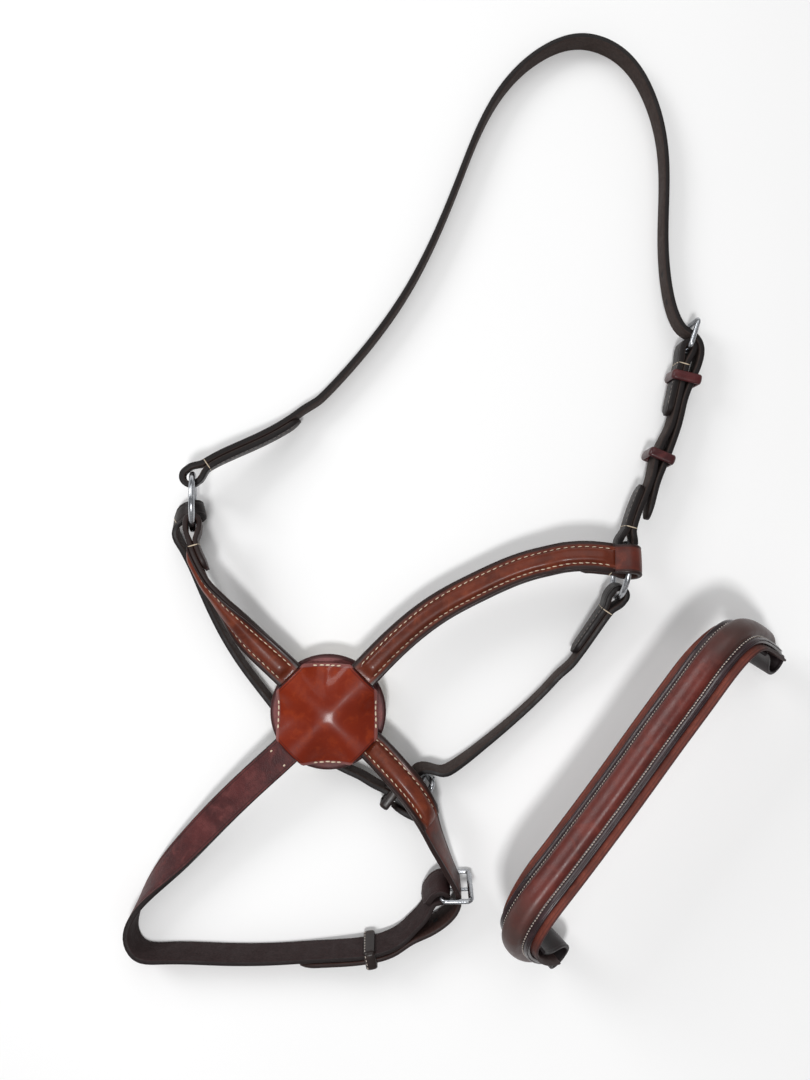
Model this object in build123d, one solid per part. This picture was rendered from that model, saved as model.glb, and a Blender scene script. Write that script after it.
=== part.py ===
from build123d import *
import os
import numpy as np

os.makedirs("parts", exist_ok=True)

# Crossed (figure-of-eight) noseband on its slip head, with the matching padded browband.
# Laid out on a flat floor: Z up, floor at z = 0, poll towards +Y, chin towards -Y. Millimetres.

# ---- driving dimensions -------------------------------------------------------------
SLIM_W, SLIM_T = 13.0, 3.5        # headpiece, cheek and jaw straps
NOSE_W, NOSE_T = 18.5, 3.0        # crossing nose straps, the flat strap itself
CHIN_W, CHIN_T = 19.0, 3.5        # chin strap
RAISE_HALF = 4.4                  # half width of the raised middle of a nose strap
RAISE_H = 2.6                     # how far that middle stands above the stitched edges
COVER_T = 1.2                     # thin cover leather over the raised filler
PLY_GAP = 0.4                     # air between a strap and its own turned-back end
RING_R, RING_WIRE = 16.9, 1.8     # cheek rings, wire centre radius and wire radius
BAR_R = 1.5                       # buckle wire radius
SLIM_FRAME = (17.2, 17.5)         # buckle frame: bar to bar, side to side (wire centres)
WIDE_FRAME = (18.2, 23.5)
TONGUE_R = 1.1
KEEPER_WALL = 2.0
ROSETTE = (-77.3, -131.3)         # centre of the leather rosette
ROSETTE_FLATS = 62.0
DISC_R = 36.0
BROW_W = 31.4
BROW_STRAP_W = 23.0
BROW_FOOT = np.array([62.3, -282.8, 8.1])
BROW_ALONG = np.array([0.5967, 0.8024, 0.0])
BROW_LEAN = 40.0                  # lean of the arch from upright, towards the headpiece side
LEFT_RING = np.array([-160.3, -1.0, 23.6])
LEFT_TILT = 12.0
RIGHT_RING = np.array([104.9, -43.4, 20.0])
RIGHT_HEADING = 80.4

CENTRING = (-0.74, -1.6, 0.0)      # moves the layout so its box is centred on the origin

Z = np.array([0.0, 0.0, 1.0])


# ---- small vector helpers -----------------------------------------------------------
def unit(v):
    v = np.asarray(v, float)
    return v / np.linalg.norm(v, axis=-1, keepdims=True)


def lie(lean, heading):
    """Width direction of a strap: upright when lean is 0, flat when 90."""
    a, h = np.radians(lean), np.radians(heading)
    return np.array([np.sin(a) * np.cos(h), np.sin(a) * np.sin(h), np.cos(a)])


def distance_along(p):
    steps = np.linalg.norm(np.diff(p, axis=0), axis=1)
    return np.concatenate([[0.0], np.cumsum(steps)])


def natural_spline(knots, values, at):
    n = len(knots)
    h = np.diff(knots)
    a = np.eye(n)
    rhs = np.zeros_like(values)
    for i in range(1, n - 1):
        a[i, i - 1], a[i, i], a[i, i + 1] = h[i - 1], 2 * (h[i - 1] + h[i]), h[i]
        rhs[i] = 6 * ((values[i + 1] - values[i]) / h[i] - (values[i] - values[i - 1]) / h[i - 1])
    m = np.linalg.solve(a, rhs)
    j = np.clip(np.searchsorted(knots, at, side="right") - 1, 0, n - 2)
    hj = h[j][:, None]
    u = (knots[j + 1] - at)[:, None]
    v = (at - knots[j])[:, None]
    cubic = m[j] * u**3 / (6 * hj) + m[j + 1] * v**3 / (6 * hj)
    line = (values[j] / hj - m[j] * hj / 6) * u + (values[j + 1] / hj - m[j + 1] * hj / 6) * v
    return cubic + line


def knots(rows):
    """Rows (x, y, z, lean, heading) or (point, width direction) to two arrays."""
    pts = np.array([r[0] if len(r) == 2 else r[:3] for r in rows], float)
    wid = np.array([r[1] if len(r) == 2 else lie(r[3], r[4]) for r in rows])
    return pts, wid


def join(*parts):
    return np.vstack([p[0] for p in parts]), np.vstack([p[1] for p in parts])


def route(points, wid, blur=9):
    """Smooth middle line of a strap: points, travel, width and grain-side directions."""
    s = distance_along(points)
    at = np.linspace(0, s[-1], int(s[-1]) + 1)
    p = natural_spline(s, points, at)
    w = np.stack([np.interp(at, s, wid[:, i]) for i in range(3)], axis=1)
    padded = np.pad(w, ((blur, blur), (0, 0)), mode="edge")
    box = np.ones(2 * blur + 1) / (2 * blur + 1)
    w = np.stack([np.convolve(padded[:, i], box, mode="valid") for i in range(3)], axis=1)
    t = unit(np.gradient(p, axis=0))
    w = unit(w - np.sum(w * t, axis=1, keepdims=True) * t)
    return p, t, w, np.cross(w, t)


def smooth01(x):
    x = np.clip(x, 0, 1)
    return x * x * (3 - 2 * x)


def eye(radius, length, stretch=0.0, pinch=9.0):
    return {"radius": radius, "length": length, "stretch": stretch, "pinch": pinch}


def ply_offset(d, e, thick):
    """Half distance between a strap and its turned-back end, d along from the eye."""
    half = (thick + PLY_GAP) / 2
    near = e["radius"] + (half - e["radius"]) * smooth01((d - 1.5) / e["pinch"])
    far = half * (1 - smooth01((d - e["length"] - 3) / 16))
    return np.where(d < e["length"] + 3, near, far)


def looped(r, thick, start=None, end=None):
    """One strap as a single path, folded round a wire at either or both ends."""
    p, t, w, n = r
    s = distance_along(p)
    off = np.zeros(len(s))
    if start:
        off = np.maximum(off, ply_offset(s, start, thick))
    if end:
        off = np.maximum(off, ply_offset(s[-1] - s, end, thick))
    body, back = p + n * off[:, None], p - n * off[:, None]
    pts, wid = [body], [w]
    phi = np.linspace(0, np.pi, 13)[:, None]
    if start:
        c = p[0] - t[0] * start["stretch"]
        fold = c + start["radius"] * (-n[0] * np.cos(phi) - t[0] * np.sin(phi))
        keep = s <= start["length"]
        pts = [back[keep][::-1], fold] + pts
        wid = [w[keep][::-1], np.repeat(w[:1], len(phi), axis=0)] + wid
    if end:
        c = p[-1] + t[-1] * end["stretch"]
        fold = c + end["radius"] * (n[-1] * np.cos(phi) + t[-1] * np.sin(phi))
        keep = s >= s[-1] - end["length"]
        pts = pts + [fold, back[keep][::-1]]
        wid = wid + [np.repeat(w[-1:], len(phi), axis=0), w[keep][::-1]]
    pts, wid = np.vstack(pts), np.vstack(wid)
    fresh = np.concatenate([[True], np.linalg.norm(np.diff(pts, axis=0), axis=1) > 0.05])
    return pts[fresh], wid[fresh]


def framed(pts, wid):
    t = unit(np.gradient(pts, axis=0))
    w = unit(wid - np.sum(wid * t, axis=1, keepdims=True) * t)
    return pts, t, w, np.cross(w, t)


def stations(p, t, w, longest, turn):
    chosen = [0]
    for i in range(1, len(p) - 1):
        k = chosen[-1]
        bend = np.degrees(np.arccos(np.clip(t[i] @ t[k], -1, 1)))
        twist = np.degrees(np.arccos(np.clip(w[i] @ w[k], -1, 1)))
        if np.linalg.norm(p[i] - p[k]) > longest or bend > turn or twist > turn:
            chosen.append(i)
    if len(chosen) > 1 and np.linalg.norm(p[-1] - p[chosen[-1]]) < 1.0:
        chosen.pop()
    return chosen + [len(p) - 1]


def ribbon(frames, section, longest=11.0, turn=20.0):
    """Solid through the sections section(s, length) -> [(across, out), ...]."""
    p, t, w, n = frames
    s = distance_along(p)
    wires = []
    for i in stations(p, t, w, longest, turn):
        loop = [p[i] + a * w[i] + b * n[i] for a, b in section(s[i], s[-1])]
        wires.append(Wire.make_polygon([Vector(*q) for q in loop], close=True))
    return Solid.make_loft(wires, ruled=True)


def flat_section(width, thick, tip_start=0.0, tip_end=0.0, shift=0.0):
    def section(s, length):
        k = 1.0
        if tip_start:
            k = min(k, 0.35 + 0.65 * s / tip_start)
        if tip_end:
            k = min(k, 0.35 + 0.65 * (length - s) / tip_end)
        a, b = width / 2 * k, thick / 2
        return [(-a, shift - b), (a, shift - b), (a, shift + b), (-a, shift + b)]
    return section


def above_floor(solid):
    return solid - Pos(0, 0, -50) * Box(1000, 1000, 100)


def save(node, name):
    export_step(Pos(*CENTRING) * Part(node.wrapped), f"parts/{name}.step")


def plane_at(point, x_dir, z_dir):
    return Plane(origin=tuple(point), x_dir=tuple(x_dir), z_dir=tuple(z_dir))


def rod(a, b, radius):
    a, b = Vector(*a), Vector(*b)
    return Solid.make_cylinder(radius, (b - a).length, Plane(origin=a, z_dir=(b - a).normalized()))


def ball(c, radius):
    return Pos(*c) * Sphere(radius)


def stretch_beside(r, s0, s1, offset, count):
    """Points lying alongside a route, offset to its grain side."""
    p, t, w, n = r
    s = distance_along(p)
    pick = [int(np.argmin(abs(s - v))) for v in np.linspace(s0, s1, count)]
    return p[pick] + n[pick] * offset, w[pick]


# ---- rings --------------------------------------------------------------------------
def ring_axes(tilt, heading):
    """Ring plane: along (horizontal) and up directions, and the axis through it."""
    h = np.radians(heading)
    along = np.array([np.cos(h), np.sin(h), 0.0])
    side = np.cross(along, Z)
    up = unit(Z * np.cos(np.radians(tilt)) + side * np.sin(np.radians(tilt)))
    return along, up, np.cross(along, up)


L_ALONG, L_UP, L_AXIS = ring_axes(LEFT_TILT, 90.0)
R_ALONG, R_UP, R_AXIS = ring_axes(0.0, RIGHT_HEADING)


def on_ring(centre, along, up, angle, inward=0.0):
    """Point on the wire; angle 0 is along, 90 is the top."""
    a = np.radians(angle)
    return centre + (RING_R - inward) * (along * np.cos(a) + up * np.sin(a))


def wire_way(along, up, angle):
    a = np.radians(angle)
    return up * np.cos(a) - along * np.sin(a)


def ring(centre, axis):
    return Plane(origin=tuple(centre), z_dir=tuple(axis)).location * Torus(RING_R, RING_WIRE)


save(ring(LEFT_RING, L_AXIS), "left_ring")
save(ring(RIGHT_RING, R_AXIS), "right_ring")


# ---- buckles ------------------------------------------------------------------------
def buckle_frame(rear, ahead, across, size):
    length, width = size
    side = across * width / 2
    a, b = rear + side, rear - side
    c, d = b + ahead * length, a + ahead * length
    frame = rod(a, b, BAR_R) + rod(b, c, BAR_R) + rod(c, d, BAR_R) + rod(d, a, BAR_R)
    for corner in (a, b, c, d):
        frame += ball(corner, BAR_R)
    return frame


def tongue_rod(rear, ahead, out, length, radius, lift=0.0, start=0.0):
    climb = np.arctan2(BAR_R + TONGUE_R + 0.06, length) + np.radians(lift)
    way = ahead * np.cos(climb) + out * np.sin(climb)
    return rod(rear + way * start, rear + way * (length + 2.2), radius)


def buckle_tongue(rear, ahead, across, out, size):
    eye_ring = rod(rear - across * 1.2, rear + across * 1.2, 2.7)
    shank = tongue_rod(rear, ahead, out, size[0], TONGUE_R)
    bore = rod(rear - across * 3, rear + across * 3, BAR_R + 0.05)
    return eye_ring + shank - bore


def tongue_slot(rear, ahead, across, out):
    """Room in the folded strap for the tongue's eye and for its shank."""
    way = plane_at(rear, ahead, out)
    room = rod(rear - across * 1.6, rear + across * 1.6, 3.0)
    return room + way.location * Pos(4, 0, 1.4) * Box(8, 3.2, 5.4)


def tongue_hole(rear, ahead, out, length):
    hole = tongue_rod(rear, ahead, out, length, TONGUE_R + 0.45, 0.0, 2.0)
    for lift in (3.0, 6.0, 9.0, 12.0):
        hole += tongue_rod(rear, ahead, out, length, TONGUE_R + 0.45, lift, 2.0)
    return hole


def keeper(r, s, low, high, width, length):
    """Leather loop round the plies of a strap between out = low and out = high."""
    p, t, w, n = r
    i = int(np.argmin(abs(distance_along(p) - s)))
    mid = p[i] + n[i] * (low + high) / 2
    place = plane_at(mid, w[i], t[i]).location
    inner_w, inner_h = width + 0.8, high - low
    outer = Box(inner_w + 2 * KEEPER_WALL, inner_h + 2 * KEEPER_WALL, length)
    outer = fillet(outer.edges().filter_by(Axis.Z), 1.6)
    return place * (outer - Box(inner_w, inner_h, length + 2))


def punch(solid, r, where, radius=1.6):
    p, t, w, n = r
    s = distance_along(p)
    for v in where:
        i = int(np.argmin(abs(s - v)))
        solid -= rod(p[i] - n[i] * 6, p[i] + n[i] * 6, radius)
    return solid


HEAD_REAR = np.array([148.2, 96.3, 10.6])
HEAD_AHEAD = unit([0.29, 0.957, 0.0])
HEAD_ACROSS = Z
HEAD_OUT = np.cross(HEAD_AHEAD, HEAD_ACROSS)

JAW_REAR = np.array([-21.7, -190.5, 10.3])
JAW_ACROSS = lie(15.0, -26.8)
JAW_AHEAD = unit(np.cross(JAW_ACROSS, np.cross(np.array([0.45, 0.89, 0.0]), JAW_ACROSS)))
JAW_OUT = np.cross(JAW_AHEAD, JAW_ACROSS)

CHIN_REAR = np.array([-6.8, -242.2, 13.2])
CHIN_ACROSS = lie(25.0, 270.0)
CHIN_AHEAD = np.array([1.0, 0.0, 0.0])
CHIN_OUT = np.cross(CHIN_AHEAD, CHIN_ACROSS)

BUCKLES = {
    "headpiece": (HEAD_REAR, HEAD_AHEAD, HEAD_ACROSS, HEAD_OUT, SLIM_FRAME),
    "jaw": (JAW_REAR, JAW_AHEAD, JAW_ACROSS, JAW_OUT, SLIM_FRAME),
    "chin": (CHIN_REAR, CHIN_AHEAD, CHIN_ACROSS, CHIN_OUT, WIDE_FRAME),
}
for name, (rear, ahead, across, out, size) in BUCKLES.items():
    save(buckle_frame(rear, ahead, across, size), f"{name}_buckle_frame")
    save(buckle_tongue(rear, ahead, across, out, size), f"{name}_buckle_tongue")


# ---- cheek strap and headpiece ------------------------------------------------------
def cheek_route():
    rows = [
        (*HEAD_REAR, 0, 0),
        (144.6, 84.4, 10.6, 0, 0),
        (140.6, 67.4, 10.6, 0, 0),
        (133.6, 41.0, 10.6, 0, 0),
        (128.0, 27.0, 11.4, 0, 0),
        (123.0, 15.0, 13.0, 0, 0),
        (117.2, 2.0, 15.2, 0, 0),
        (111.6, -12.0, 17.0, 4, 80),
        (on_ring(RIGHT_RING, R_ALONG, R_UP, -8, 0.65), wire_way(R_ALONG, R_UP, -8)),
    ]
    return route(*knots(rows))


CHEEK = cheek_route()
CHEEK_LEN = distance_along(CHEEK[0])[-1]


def cheek_strap():
    path = looped(CHEEK, SLIM_T, eye(3.5, 45.0), eye(4.6, 40.0, 1.3))
    solid = ribbon(framed(*path), flat_section(SLIM_W, SLIM_T, 6.0, 6.0))
    return solid - tongue_slot(HEAD_REAR, HEAD_AHEAD, HEAD_ACROSS, HEAD_OUT)


def headpiece_route():
    rows = [
        (on_ring(LEFT_RING, L_ALONG, L_UP, 0, 0.65), L_UP),
        (-152.0, 21.6, 22.2, 8, 0),
        (-136.7, 30.3, 18.0, 0, 0),
        (-113.4, 42.3, 12.0, 0, 0),
        (-94.9, 54.9, 8.0, 0, 0),
        (-68.4, 80.7, 6.45, 0, 0),
        (-29.5, 131.6, 6.45, 0, 0),
        (6.2, 208.1, 6.45, 0, 0),
        (30.4, 259.1, 6.45, 0, 0),
        (56.5, 284.6, 6.45, 0, 0),
        (82.0, 293.2, 6.45, 0, 0),
        (107.5, 284.0, 6.45, 0, 0),
        (125.4, 259.1, 6.45, 0, 0),
        (134.9, 220.9, 6.45, 0, 0),
        (134.9, 169.9, 6.45, 0, 0),
        (137.4, 131.2, 8.3, 0, 0),
        (141.6, 114.5, 10.2, 0, 0),
        (145.9, 107.8, 10.6, 0, 0),
        (151.4, 104.0, 10.6, 0, 0),
        (155.7, 97.4, 10.6, 0, 0),
        (155.6, 89.6, 10.6, 0, 0),
        (152.2, 79.8, 10.6, 0, 0),
    ]
    tail = stretch_beside(CHEEK, 32.0, 88.0, 5.9, 6)
    tip = knots([(125.9, 4.4, 13.0, 0, 0), (122.2, -11.6, 12.8, 0, 0)])
    return route(*join(knots(rows), tail, tip))


HEAD = headpiece_route()
HEAD_LEN = distance_along(HEAD[0])[-1]


def headpiece_strap():
    path = looped(HEAD, SLIM_T, eye(4.9, 76.0, 1.3))
    solid = ribbon(framed(*path), flat_section(SLIM_W, SLIM_T, 7.0, 8.0))
    solid -= tongue_hole(HEAD_REAR, HEAD_AHEAD, HEAD_OUT, SLIM_FRAME[0])
    solid = punch(solid, HEAD, [HEAD_LEN - v for v in (16, 150, 168)])
    return above_floor(solid)


save(cheek_strap(), "cheek_strap")
save(headpiece_strap(), "headpiece_strap")
save(keeper(CHEEK, 19.0, -4.2, 11.0, SLIM_W, 6.2), "headpiece_fixed_keeper")
save(keeper(CHEEK, 71.0, -4.6, 8.8, SLIM_W + 0.4, 6.2), "headpiece_runner_keeper")


# ---- raised nose straps -------------------------------------------------------------
def raise_profile(lift):
    """Cover leather over a filler; lift 0 lies flat, 1 stands full height."""
    a, k = NOSE_W / 2, RAISE_HALF
    base = NOSE_T / 2 + 0.25
    low, top = base + COVER_T, base + COVER_T + RAISE_H * lift
    roof = base + RAISE_H * lift
    return [(-a, base), (-k, base), (-k + 0.9, roof), (k - 0.9, roof), (k, base), (a, base),
            (a, low), (k + 0.9, low), (k - 0.3, top), (0.3 - k, top), (-k - 0.9, low), (-a, low)]


def filler_profile(lift):
    k = RAISE_HALF - 0.85
    base = NOSE_T / 2 + 0.4
    roof = base + max(RAISE_H * lift - 0.9, 0.3)
    return [(-k, base), (k, base), (k - 0.6, roof), (0.6 - k, roof)]


def raised_pair(frames, s0, s1, flats, name):
    """Cover and filler from s0 to s1; flats are (from, to) stretches pressed flat."""
    s = distance_along(frames[0])

    def cut(lo, hi):
        keep = (s >= lo) & (s <= hi)
        return tuple(f[keep] for f in frames)

    def lift(v, lo, hi):
        k = min(1.0, (v - lo) / 8 + 0.15, (hi - v) / 8 + 0.15)
        for a, b in flats:
            k = min(k, 0.0 if a <= v <= b else min(abs(v - a), abs(v - b)) / 8)
        return max(k, 0.0)

    save(ribbon(cut(s0, s1), lambda v, n: raise_profile(max(lift(v + s0, s0, s1), 0.02)),
                8.0, 11.0), f"{name}_cover")
    lo, hi = (s0 + 6, flats[0][0] - 4) if flats[0][0] > s0 + 12 else (flats[0][1] + 4, s1 - 6)
    save(ribbon(cut(lo, hi), lambda v, n: filler_profile(max(lift(v + lo, s0, s1), 0.1)),
                8.0, 11.0), f"{name}_filler")


def nose_left_route():
    rows = [
        (on_ring(LEFT_RING, L_ALONG, L_UP, 172, 1.45), wire_way(L_ALONG, L_UP, 172)),
        (-159.3, -25.4, 27.0, 168, 200),
        (-155.2, -36.8, 26.4, 172, 218),
        (-149.4, -49.2, 25.2, 166, 222),
        (-142.8, -61.5, 24.3, 152, 225),
        (-134.6, -72.6, 23.6, 130, 225),
        (-125.1, -84.3, 23.2, 104, 225),
        (-114.0, -95.5, 22.4, 92, 225),
        (-100.5, -108.4, 21.95, 90, 225),
        (-77.0, -130.8, 21.95, 90, 227),
        (-54.2, -147.8, 22.4, 90, 230),
        (-45.4, -155.8, 24.0, 86, 232),
        (-35.6, -166.0, 26.4, 78, 235),
        (-24.6, -179.4, 27.6, 68, 238),
        (-16.3, -193.8, 26.6, 56, 242),
        (-11.2, -207.1, 23.0, 40, 246),
        (-5.5, -220.8, 19.0, 26, 250),
        (0.6, -234.6, 15.6, 18, 260),
        (4.3, -246.0, 12.4, 20, 268),
        (1.8, -255.2, 10.8, 12, 270),
        (-5.6, -263.4, 10.4, 8, 270),
        (-15.2, -269.2, 10.6, 8, 270),
    ]
    tail = (TAIL_POINTS, TAIL_WIDE)
    return route(*join(knots(rows), tail))


def chin_route():
    rows = [
        (-80.2, -133.9, 27.0, 90, 135),
        (-93.8, -145.4, 27.0, 90, 135),
        (-106.9, -157.7, 25.9, 94, 135),
        (-120.1, -170.0, 23.9, 98, 135),
        (-146.2, -195.7, 18.8, 104, 132),
        (-171.4, -222.7, 13.6, 122, 126),
        (-183.7, -236.1, 11.4, 142, 120),
        (-194.1, -249.3, 10.0, 162, 110),
        (-201.3, -262.6, 9.45, 172, 60),
        (-203.2, -274.5, 9.45, 176, 60),
        (-197.6, -284.0, 9.45, 174, 90),
        (-182.0, -286.2, 9.45, 172, 90),
        (-146.7, -286.8, 9.45, 172, 90),
        (-110.0, -286.6, 9.45, 172, 90),
        (-88.0, -284.9, 10.2, 172, 90),
        (-66.0, -282.6, 12.4, 172, 90),
        (-47.0, -279.6, 12.9, 170, 90),
        (-33.5, -274.6, 11.4, 168, 90),
        (-23.6, -265.6, 10.4, 166, 90),
        (-17.0, -254.8, 10.2, 160, 90),
        (-13.2, -247.4, 11.1, 156, 90),
        (CHIN_REAR, -CHIN_ACROSS),
    ]
    return route(*knots(rows))


CHIN = chin_route()
CHIN_LEN = distance_along(CHIN[0])[-1]
_tail = stretch_beside(CHIN, CHIN_LEN - 38.0, CHIN_LEN - 108.0, 3.95, 7)
TAIL_POINTS, TAIL_WIDE = _tail[0], -_tail[1]
NOSE_LEFT = nose_left_route()
NOSE_LEFT_LEN = distance_along(NOSE_LEFT[0])[-1]


def chin_strap():
    path = looped(CHIN, CHIN_T, None, eye(3.75, 15.0))
    solid = ribbon(framed(*path), flat_section(CHIN_W, CHIN_T, 0.0, 3.0))
    solid -= tongue_slot(CHIN_REAR, CHIN_AHEAD, CHIN_ACROSS, CHIN_OUT)
    return above_floor(solid)


def nose_left_strap():
    path = looped(NOSE_LEFT, NOSE_T, eye(4.1, 30.0, 1.5))
    solid = ribbon(framed(*path), flat_section(NOSE_W, NOSE_T, 6.0, 10.0), 8.0, 13.0)
    solid -= tongue_hole(CHIN_REAR, CHIN_AHEAD, CHIN_OUT, WIDE_FRAME[0])
    solid = punch(solid, NOSE_LEFT, [NOSE_LEFT_LEN - v for v in (22, 45.5, 69, 92.5)])
    return above_floor(solid)


save(chin_strap(), "chin_strap")
save(nose_left_strap(), "nose_strap_left")
save(keeper(CHIN, CHIN_LEN - 62.0, -2.5, 6.4, CHIN_W + 0.3, 7.0), "chin_keeper")


def over_strap(r, thick, start=None, end=None):
    """Frames of the strap body only, without its turned-back ends."""
    p, t, w, n = r
    s = distance_along(p)
    off = np.zeros(len(s))
    if start:
        off = np.maximum(off, ply_offset(s, start, thick))
    if end:
        off = np.maximum(off, ply_offset(s[-1] - s, end, thick))
    return framed(p + n * off[:, None], w)


def near(r, x, y):
    return float(distance_along(r[0])[np.argmin(np.hypot(r[0][:, 0] - x, r[0][:, 1] - y))])


def nose_left_cover():
    frames = over_strap(NOSE_LEFT, NOSE_T, eye(4.1, 30.0, 1.5))
    s = distance_along(frames[0])
    mid = near(NOSE_LEFT, *ROSETTE)
    stop = near(NOSE_LEFT, -14.0, -199.0)
    return frames, 13.0, stop, [(mid - 36.0, mid + 36.0)]


LEFT_COVER = nose_left_cover()
raised_pair(*LEFT_COVER, "nose_strap_left")


def nose_right_route():
    rows = [
        (-75.0, -128.6, 26.8, 90, 315),
        (-55.8, -107.8, 26.8, 90, 315),
        (-32.6, -84.8, 25.6, 83, 312),
        (-8.0, -65.9, 25.4, 77, 304),
        (16.4, -52.8, 26.6, 72, 297),
        (40.5, -42.1, 29.4, 69, 285),
        (64.2, -36.2, 33.0, 67, 275),
        (81.5, -35.1, 35.1, 67, 266),
        (93.2, -36.2, 35.4, 68, 262),
        (on_ring(RIGHT_RING, R_ALONG, R_UP, 68, 1.45), wire_way(R_ALONG, R_UP, 68)),
    ]
    return route(*knots(rows))


NOSE_RIGHT = nose_right_route()
NOSE_RIGHT_LEN = distance_along(NOSE_RIGHT[0])[-1]


def nose_right_strap():
    path = looped(NOSE_RIGHT, NOSE_T, None, eye(5.2, 34.0, 0.4))
    return ribbon(framed(*path), flat_section(NOSE_W, NOSE_T, 0.0, 6.0), 8.0, 13.0)


save(nose_right_strap(), "nose_strap_right")
RIGHT_FRAMES = over_strap(NOSE_RIGHT, NOSE_T, None, eye(5.2, 34.0, 0.4))
raised_pair(RIGHT_FRAMES, 0.0, NOSE_RIGHT_LEN - 9.0, [(0.0, 36.0)], "nose_strap_right")


# ---- jaw straps ---------------------------------------------------------------------
def jaw_left_route():
    rows = [
        (on_ring(LEFT_RING, L_ALONG, L_UP, 248, 0.65), wire_way(L_ALONG, L_UP, 248)),
        (-169.0, -9.8, 8.6, 120, 100),
        (-172.6, -15.0, 8.2, 150, 120),
        (-173.0, -23.0, 7.2, 180, 0),
        (-169.6, -31.5, 6.45, 180, 0),
        (-165.2, -40.0, 6.45, 180, 0),
        (-160.8, -50.0, 6.45, 180, 0),
        (-150.6, -72.9, 6.45, 180, 0),
        (-136.6, -97.8, 6.45, 180, 0),
        (-116.8, -124.6, 6.45, 180, 0),
        (-96.4, -148.8, 6.45, 180, 0),
        (-83.6, -160.1, 6.45, 180, 0),
        (-67.6, -169.2, 7.4, 178, 150),
        (-50.5, -175.6, 10.2, 172, 150),
        (-38.4, -181.0, 12.2, 168, 152),
        (-29.6, -187.4, 12.2, 166, 153),
        (JAW_REAR, -JAW_ACROSS),
    ]
    return route(*knots(rows), blur=4)


JAW_LEFT = jaw_left_route()
JAW_LEFT_LEN = distance_along(JAW_LEFT[0])[-1]


def jaw_left_strap():
    path = looped(JAW_LEFT, SLIM_T, eye(4.95, 11.0, 0.6, 8.0), eye(3.5, 24.0))

    def section(s, length):
        half = 5.5 + smooth01((s - 26.0) / 16.0)
        return [(-half, -1.75), (half, -1.75), (half, 1.75), (-half, 1.75)]

    solid = ribbon(framed(*path), section, 9.0)
    solid -= tongue_slot(JAW_REAR, JAW_AHEAD, JAW_ACROSS, JAW_OUT)
    return above_floor(solid)


def jaw_right_route():
    rows = [
        (on_ring(RIGHT_RING, R_ALONG, R_UP, 190, 0.65), -wire_way(R_ALONG, R_UP, 190)),
        (94.2, -70.6, 15.6, 6, 260),
        (85.8, -84.1, 12.6, 0, 0),
        (67.5, -110.1, 8.0, 0, 0),
        (42.2, -136.0, 6.45, 0, 0),
        (18.3, -155.7, 7.4, 4, 320),
        (2.2, -167.2, 9.4, 10, 325),
        (-6.0, -170.6, 10.2, 14, 330),
        (-13.8, -168.8, 10.4, 15, 333),
        (-21.2, -169.6, 10.4, 15, 333),
        (-24.4, -175.4, 10.4, 15, 333),
        (-20.4, -181.6, 10.4, 15, 333),
        (-14.4, -186.4, 10.4, 15, 333),
        (-11.8, -192.4, 10.4, 15, 333),
        (-15.2, -198.2, 10.6, 15, 333),
        (-22.6, -198.6, 11.0, 15, 333),
        (-30.6, -194.8, 11.8, 13, 333),
        (-37.6, -191.0, 12.2, 12, 333),
    ]
    return route(*knots(rows), blur=4)


JAW_RIGHT = jaw_right_route()
JAW_RIGHT_LEN = distance_along(JAW_RIGHT[0])[-1]


def jaw_right_strap():
    path = looped(JAW_RIGHT, SLIM_T, eye(4.6, 46.0, 1.3))
    solid = ribbon(framed(*path), flat_section(SLIM_W, SLIM_T, 6.0, 7.0), 9.0)
    solid -= tongue_hole(JAW_REAR, JAW_AHEAD, JAW_OUT, SLIM_FRAME[0])
    return above_floor(solid)


save(jaw_left_strap(), "jaw_strap_left")
save(jaw_right_strap(), "jaw_strap_right")
save(keeper(JAW_LEFT, JAW_LEFT_LEN - 17.0, -4.1, 9.6, SLIM_W, 6.0), "jaw_keeper")


# ---- rosette ------------------------------------------------------------------------
def at_rosette(z):
    return Pos(ROSETTE[0], ROSETTE[1], z)


def rosette_cover():
    apothem = ROSETTE_FLATS / 2
    plate = extrude(RegularPolygon(apothem, 8, major_radius=False, rotation=22.5), 2.4)
    plate = chamfer(plate.faces().sort_by(Axis.Z)[-1].edges(), 1.2)
    for k in range(4):
        turn = Rot(0, 0, 90 * k)
        plate += turn * Pos(27.2, 0, -3.6) * Box(7.0, 10.0, 8.0)
    for k in (45, 135):
        ridge = extrude(Rot(0, 0, k) * Rectangle(54, 15), 1.4)
        plate += Pos(0, 0, 2.3) * chamfer(ridge.faces().sort_by(Axis.Z)[-1].edges(), 1.0)
    return at_rosette(30.0) * plate


save(at_rosette(14.2 + 1.5) * Cylinder(DISC_R - 0.5, 3.0), "rosette_pad")
save(at_rosette(17.4 + 1.4) * Cylinder(DISC_R, 2.8), "rosette_base")
save(rosette_cover(), "rosette_cover")


# ---- browband -----------------------------------------------------------------------
BROW_UP = unit(np.cross([0, 0, 1.0], BROW_ALONG) * np.sin(np.radians(BROW_LEAN))
               + Z * np.cos(np.radians(BROW_LEAN)))
BROW_WIDE = np.cross(BROW_ALONG, BROW_UP)


def arch(u, v):
    return BROW_FOOT + BROW_ALONG * u + BROW_UP * v


def brow_frames(uv):
    pts = np.array([arch(u, v) for u, v in uv])
    return route(pts, np.repeat(BROW_WIDE[None, :], len(pts), axis=0))


BROW = brow_frames([(1.2, 16), (0.4, 28), (1.6, 42), (5.6, 57), (12, 67), (23, 72.4), (50, 73.2),
                    (84, 72.2), (117.4, 72.6), (150.8, 74.2), (184.8, 74.8), (212, 73), (221.5, 67),
                    (226.6, 57), (229.8, 42), (231.6, 28), (232.6, 16)])
BROW_LEN = distance_along(BROW[0])[-1]


def slab(width, low, high):
    a = width / 2
    return lambda s, length: [(-a, low), (a, low), (a, high), (-a, high)]


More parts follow.
